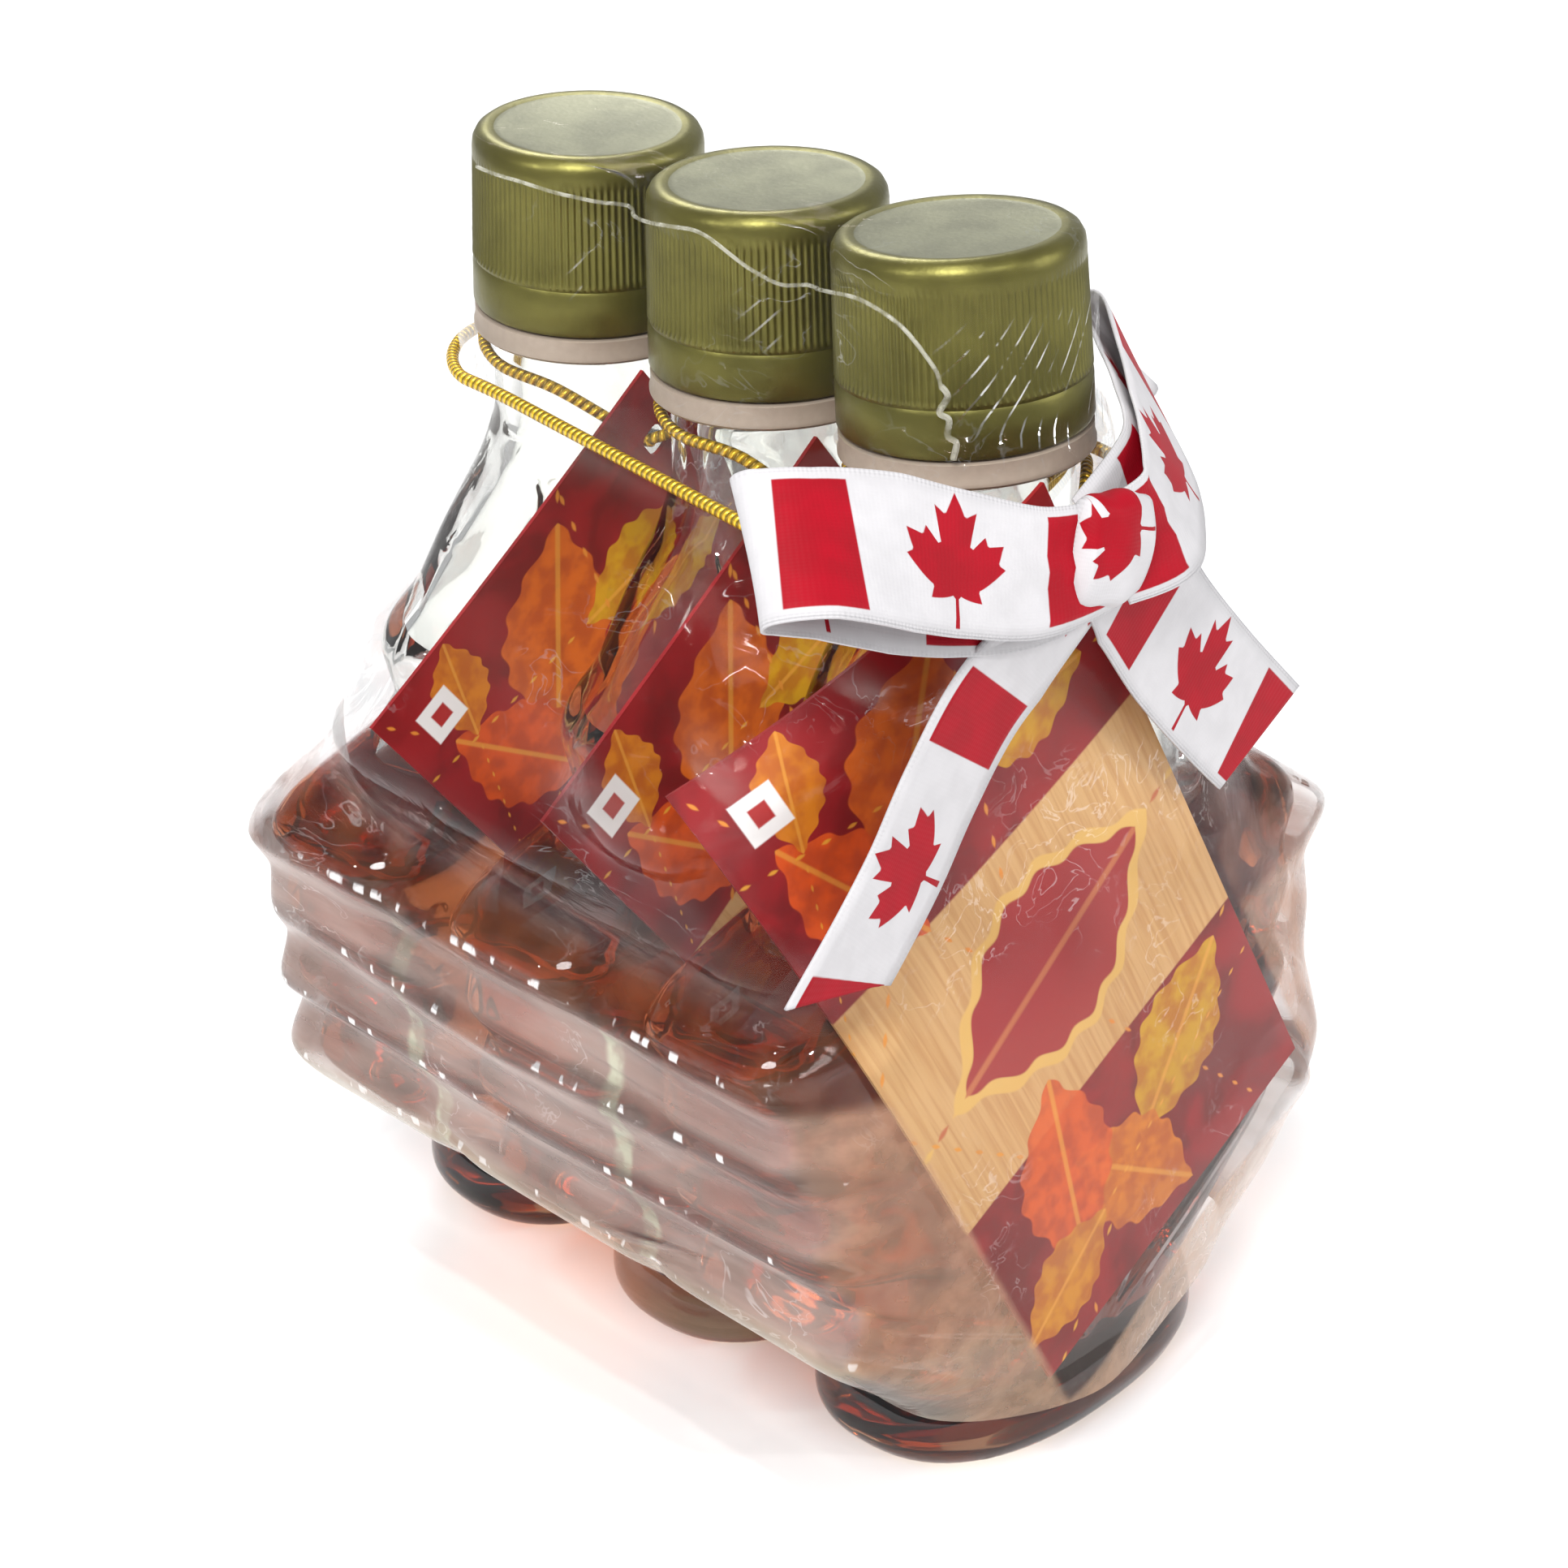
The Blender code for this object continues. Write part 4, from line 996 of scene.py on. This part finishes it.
def make_film(look, sizes):
    """Outer face of the film's solid, smoothed and drawn on to the caps and the leaves."""
    bm = bmesh.new()
    bm.from_mesh(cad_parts["film"].data)
    bmesh.ops.remove_doubles(bm, verts=bm.verts, dist=0.02 * MM)
    bmesh.ops.dissolve_limit(bm, angle_limit=radians(0.5), verts=bm.verts, edges=bm.edges)
    inner = []
    for face in bm.faces:
        centre = face.calc_center_median()
        outwards = Vector((centre.x, centre.y, 0.0)).normalized()
        if centre.z > FILM_TOP * MM:
            outwards = Vector((0.0, 0.0, 1.0))
        if face.normal.dot(outwards) < 0.02:
            inner.append(face)
    bmesh.ops.delete(bm, geom=inner, context="FACES")
    bmesh.ops.triangulate(bm, faces=bm.faces)
    bmesh.ops.join_triangles(bm, faces=bm.faces, angle_face_threshold=radians(60),
                             angle_shape_threshold=radians(60))
    bmesh.ops.scale(bm, vec=(1 / MM, 1 / MM, 1 / MM), verts=bm.verts)
    low, high = (Vector(limit(v.co[i] for v in bm.verts) for i in range(3)) for limit in (min, max))
    for _ in range(2):
        bmesh.ops.subdivide_edges(bm, edges=list(bm.edges), cuts=1, use_grid_fill=True, smooth=0.6)
    coarse = [edge for edge in bm.edges if edge.calc_length() > FILM_FINE_CELL
              and min(vert.co.z for vert in edge.verts) > FILM_FINE_FROM]
    bmesh.ops.subdivide_edges(bm, edges=coarse, cuts=1, use_grid_fill=True)
    for vert in bm.verts:
        cling_to_side(vert, sizes.cling)
        cling_to_caps(vert)
        vert.co = Vector(min(max(c, a), b) for c, a, b in zip(vert.co, low, high))
    bmesh.ops.smooth_vert(bm, verts=[v for v in bm.verts if v.co.z > 58.0], factor=0.5)
    piece = add_piece("shrink_film", bm, look, ["film"], sharp=180.0, recalculate=False)
    smoothing = piece.modifiers.new("smoothing", "SUBSURF")
    smoothing.levels = smoothing.render_levels = 1


def cap_gap(point):
    """Distance from a point to the nearest cap, with the hollows between caps softly bridged."""
    total = 0.0
    for which in PLACES:
        local = carrier(which).inverted() @ (point * MM) / MM
        aside, above = local.xy.length - CAP_RADIUS_BOTTOM, local.z - CAP_TOP
        gap = Vector((max(aside, 0.0), max(above, 0.0))).length + min(max(aside, above), 0.0)
        total += exp(-gap / FILM_BRIDGE)
    return -FILM_BRIDGE * log(total)


def drawn_to_caps(point, off):
    """The point moved until it stands this far off the caps."""
    for _ in range(3):
        gap = cap_gap(point)
        steps = [Vector((0.1 * (i == k) for k in range(3))) for i in range(3)]
        slope = Vector([cap_gap(point + step) - gap for step in steps])
        point = point - slope.normalized() * (gap - off)
    return point


def cling_to_caps(vert):
    """Draw the film on to the caps from their lower edge upwards."""
    level = (vert.co.z - FILM_CLING_FROM) / (FILM_CLING_TO - FILM_CLING_FROM)
    if level > 0.0:
        vert.co = vert.co.lerp(drawn_to_caps(vert.co, FILM_OFF), min(1.0, level))


def make_seam(look):
    """Weld seam that runs over the film, crumpled at its lower end."""
    bm = bmesh.new()
    for route, width, count in ((SEAM, SEAM_WIDTH, 90), (SEAM_END, 1.5 * SEAM_WIDTH, 48)):
        line = [drawn_to_caps(point, FILM_OFF + 0.1) for point in smooth_route(route, count, False)]
        tube(bm, line, width, False, sides=6)
    add_piece("film_seam", bm, look, None)


def cling_to_side(vert, share):
    """Draw the film in towards the lobes of the leaves, and further in between two bottles."""
    x, y, z = vert.co
    level = held((SIDE_TOP - z) / 5.0) * held((abs(x) - SIDE_FROM) / 6.0)
    if x > 0.0:
        level *= held((-21.0 - y) / 5.0)
    if level == 0.0:
        return
    leaf = between(z, LEAF_OUTLINE) + SIDE_OFF
    corner = max(0.0, abs(abs(y) - FOOT_PITCH) - 8.0) if abs(y) > FOOT_PITCH else 0.0
    leaf -= 0.10 * corner * corner
    between_bottles = abs(abs(y) - FOOT_PITCH / 2) / 1.8
    leaf -= 1.5 * max(0.0, 1.0 - between_bottles * between_bottles)
    target = min(abs(x), max(leaf, abs(x) - SIDE_DRAW))
    vert.co.x += (target - abs(x)) * level * share * (1.0 if x > 0.0 else -1.0)


# Operators and panel


class PackOperator:
    bl_options = {"REGISTER", "UNDO"}


class MakeStage(PackOperator, bpy.types.Operator):
    """Set the camera, the lamps and a plain pale floor"""
    bl_idname = "gift_pack.make_stage"
    bl_label = "Stage"

    def execute(self, context):
        scene = context.scene
        a, e = CAMERA_AZIMUTH, CAMERA_ELEVATION
        back = Vector((sin(a) * cos(e), -cos(a) * cos(e), sin(e)))
        camera = bpy.data.objects.new("camera", bpy.data.cameras.new("camera"))
        camera.data.lens = CAMERA_LENS
        camera.data.sensor_width = 36.0
        camera.data.clip_start = 0.01
        camera.location = (Vector(CAMERA_TARGET) + back * CAMERA_DISTANCE) * MM
        camera.rotation_mode = "QUATERNION"
        turn = (-back).to_track_quat("-Z", "Y")
        camera.rotation_quaternion = turn @ Quaternion((0.0, 0.0, 1.0), CAMERA_ROLL)
        scene.collection.objects.link(camera)
        scene.camera = camera

        bm = bmesh.new()
        bmesh.ops.create_circle(bm, cap_ends=True, segments=64, radius=3.0)
        mesh = bpy.data.meshes.new("floor")
        bm.to_mesh(mesh)
        bm.free()
        floor = bpy.data.objects.new("floor", mesh)
        paint = Look("pale_floor", base_color=(0.86, 0.86, 0.86), roughness=0.9)
        mesh.materials.append(paint.material)
        scene.collection.objects.link(floor)

        world = bpy.data.worlds.new("world")
        world.use_nodes = True
        world.node_tree.nodes["Background"].inputs["Color"].default_value = (0.95, 0.97, 1.0, 1.0)
        world.node_tree.nodes["Background"].inputs["Strength"].default_value = 0.5
        scene.world = world
        scene.view_settings.view_transform = "Standard"

        for name, (place, size, power) in LAMPS.items():
            lamp = bpy.data.lights.new(name, "AREA")
            lamp.shape = "DISK"
            lamp.size = size
            lamp.energy = power
            obj = bpy.data.objects.new(name, lamp)
            obj.location = place
            aim = LAMP_AIM - Vector(place)
            obj.rotation_euler = aim.to_track_quat("-Z", "Y").to_euler()
            scene.collection.objects.link(obj)
        return {"FINISHED"}


class MakeBottles(PackOperator, bpy.types.Operator):
    """Make the glass bottles and the syrup in them"""
    bl_idname = "gift_pack.make_bottles"
    bl_label = "Bottles"

    def execute(self, context):
        glass, liquid = glass_look(), syrup_look(context.scene.pack_colours)
        for which in PLACES:
            make_bottle(which, glass)
            make_syrup(which, liquid)
        return {"FINISHED"}


class MakeCaps(PackOperator, bpy.types.Operator):
    """Make the screw caps and their tamper rings"""
    bl_idname = "gift_pack.make_caps"
    bl_label = "Caps"

    def execute(self, context):
        looks, band = cap_looks(context.scene.pack_colours), ring_look(context.scene.pack_colours)
        for which in PLACES:
            make_cap(which, looks, context.scene.pack_sizes)
            make_ring(which, band)
        return {"FINISHED"}


class MakeCards(PackOperator, bpy.types.Operator):
    """Make the printed cards"""
    bl_idname = "gift_pack.make_cards"
    bl_label = "Cards"

    def execute(self, context):
        look = card_look(context.scene.pack_colours)
        for which in PLACES:
            make_card(which, look)
        return {"FINISHED"}


class MakeCords(PackOperator, bpy.types.Operator):
    """Make the gold elastics"""
    bl_idname = "gift_pack.make_cords"
    bl_label = "Elastics"

    def execute(self, context):
        look = elastic_look(context.scene.pack_colours)
        for which in PLACES:
            make_neck_cord(which, look)
        make_pack_cord(look)
        return {"FINISHED"}


class MakeBow(PackOperator, bpy.types.Operator):
    """Make the ribbon bow"""
    bl_idname = "gift_pack.make_bow"
    bl_label = "Bow"

    def execute(self, context):
        look = ribbon_look(context.scene.pack_colours)
        make_knot(look)
        for name, shape in RIBBONS.items():
            ribbon_strip(name, look, *shape)
        return {"FINISHED"}


class MakeFilm(PackOperator, bpy.types.Operator):
    """Make the shrink film"""
    bl_idname = "gift_pack.make_film"
    bl_label = "Film"

    def execute(self, context):
        make_film(film_look(context.scene.pack_colours), context.scene.pack_sizes)
        make_seam(seam_look())
        return {"FINISHED"}


STEPS = (MakeStage, MakeBottles, MakeCaps, MakeCards, MakeCords, MakeBow, MakeFilm)


class PackPanel(bpy.types.Panel):
    """Buttons and settings of the gift pack"""
    bl_idname = "VIEW3D_PT_gift_pack"
    bl_label = "Gift Pack"
    bl_space_type = "VIEW_3D"
    bl_region_type = "UI"
    bl_category = "Gift Pack"

    def draw(self, context):
        for group in (context.scene.pack_sizes, context.scene.pack_colours):
            for name in group.__annotations__:
                self.layout.prop(group, name)
        for step in STEPS:
            self.layout.operator(step.bl_idname)


CLASSES = (PackSizes, PackColours) + STEPS + (PackPanel,)


def register():
    for cls in CLASSES:
        bpy.utils.register_class(cls)
    bpy.types.Scene.pack_sizes = PointerProperty(type=PackSizes)
    bpy.types.Scene.pack_colours = PointerProperty(type=PackColours)


def unregister():
    del bpy.types.Scene.pack_colours
    del bpy.types.Scene.pack_sizes
    for cls in reversed(CLASSES):
        bpy.utils.unregister_class(cls)


def main():
    register()
    bpy.ops.gift_pack.make_stage()
    bpy.ops.gift_pack.make_bottles()
    bpy.ops.gift_pack.make_caps()
    bpy.ops.gift_pack.make_cards()
    bpy.ops.gift_pack.make_cords()
    bpy.ops.gift_pack.make_bow()
    bpy.ops.gift_pack.make_film()


if __name__ == "__main__":
    main()
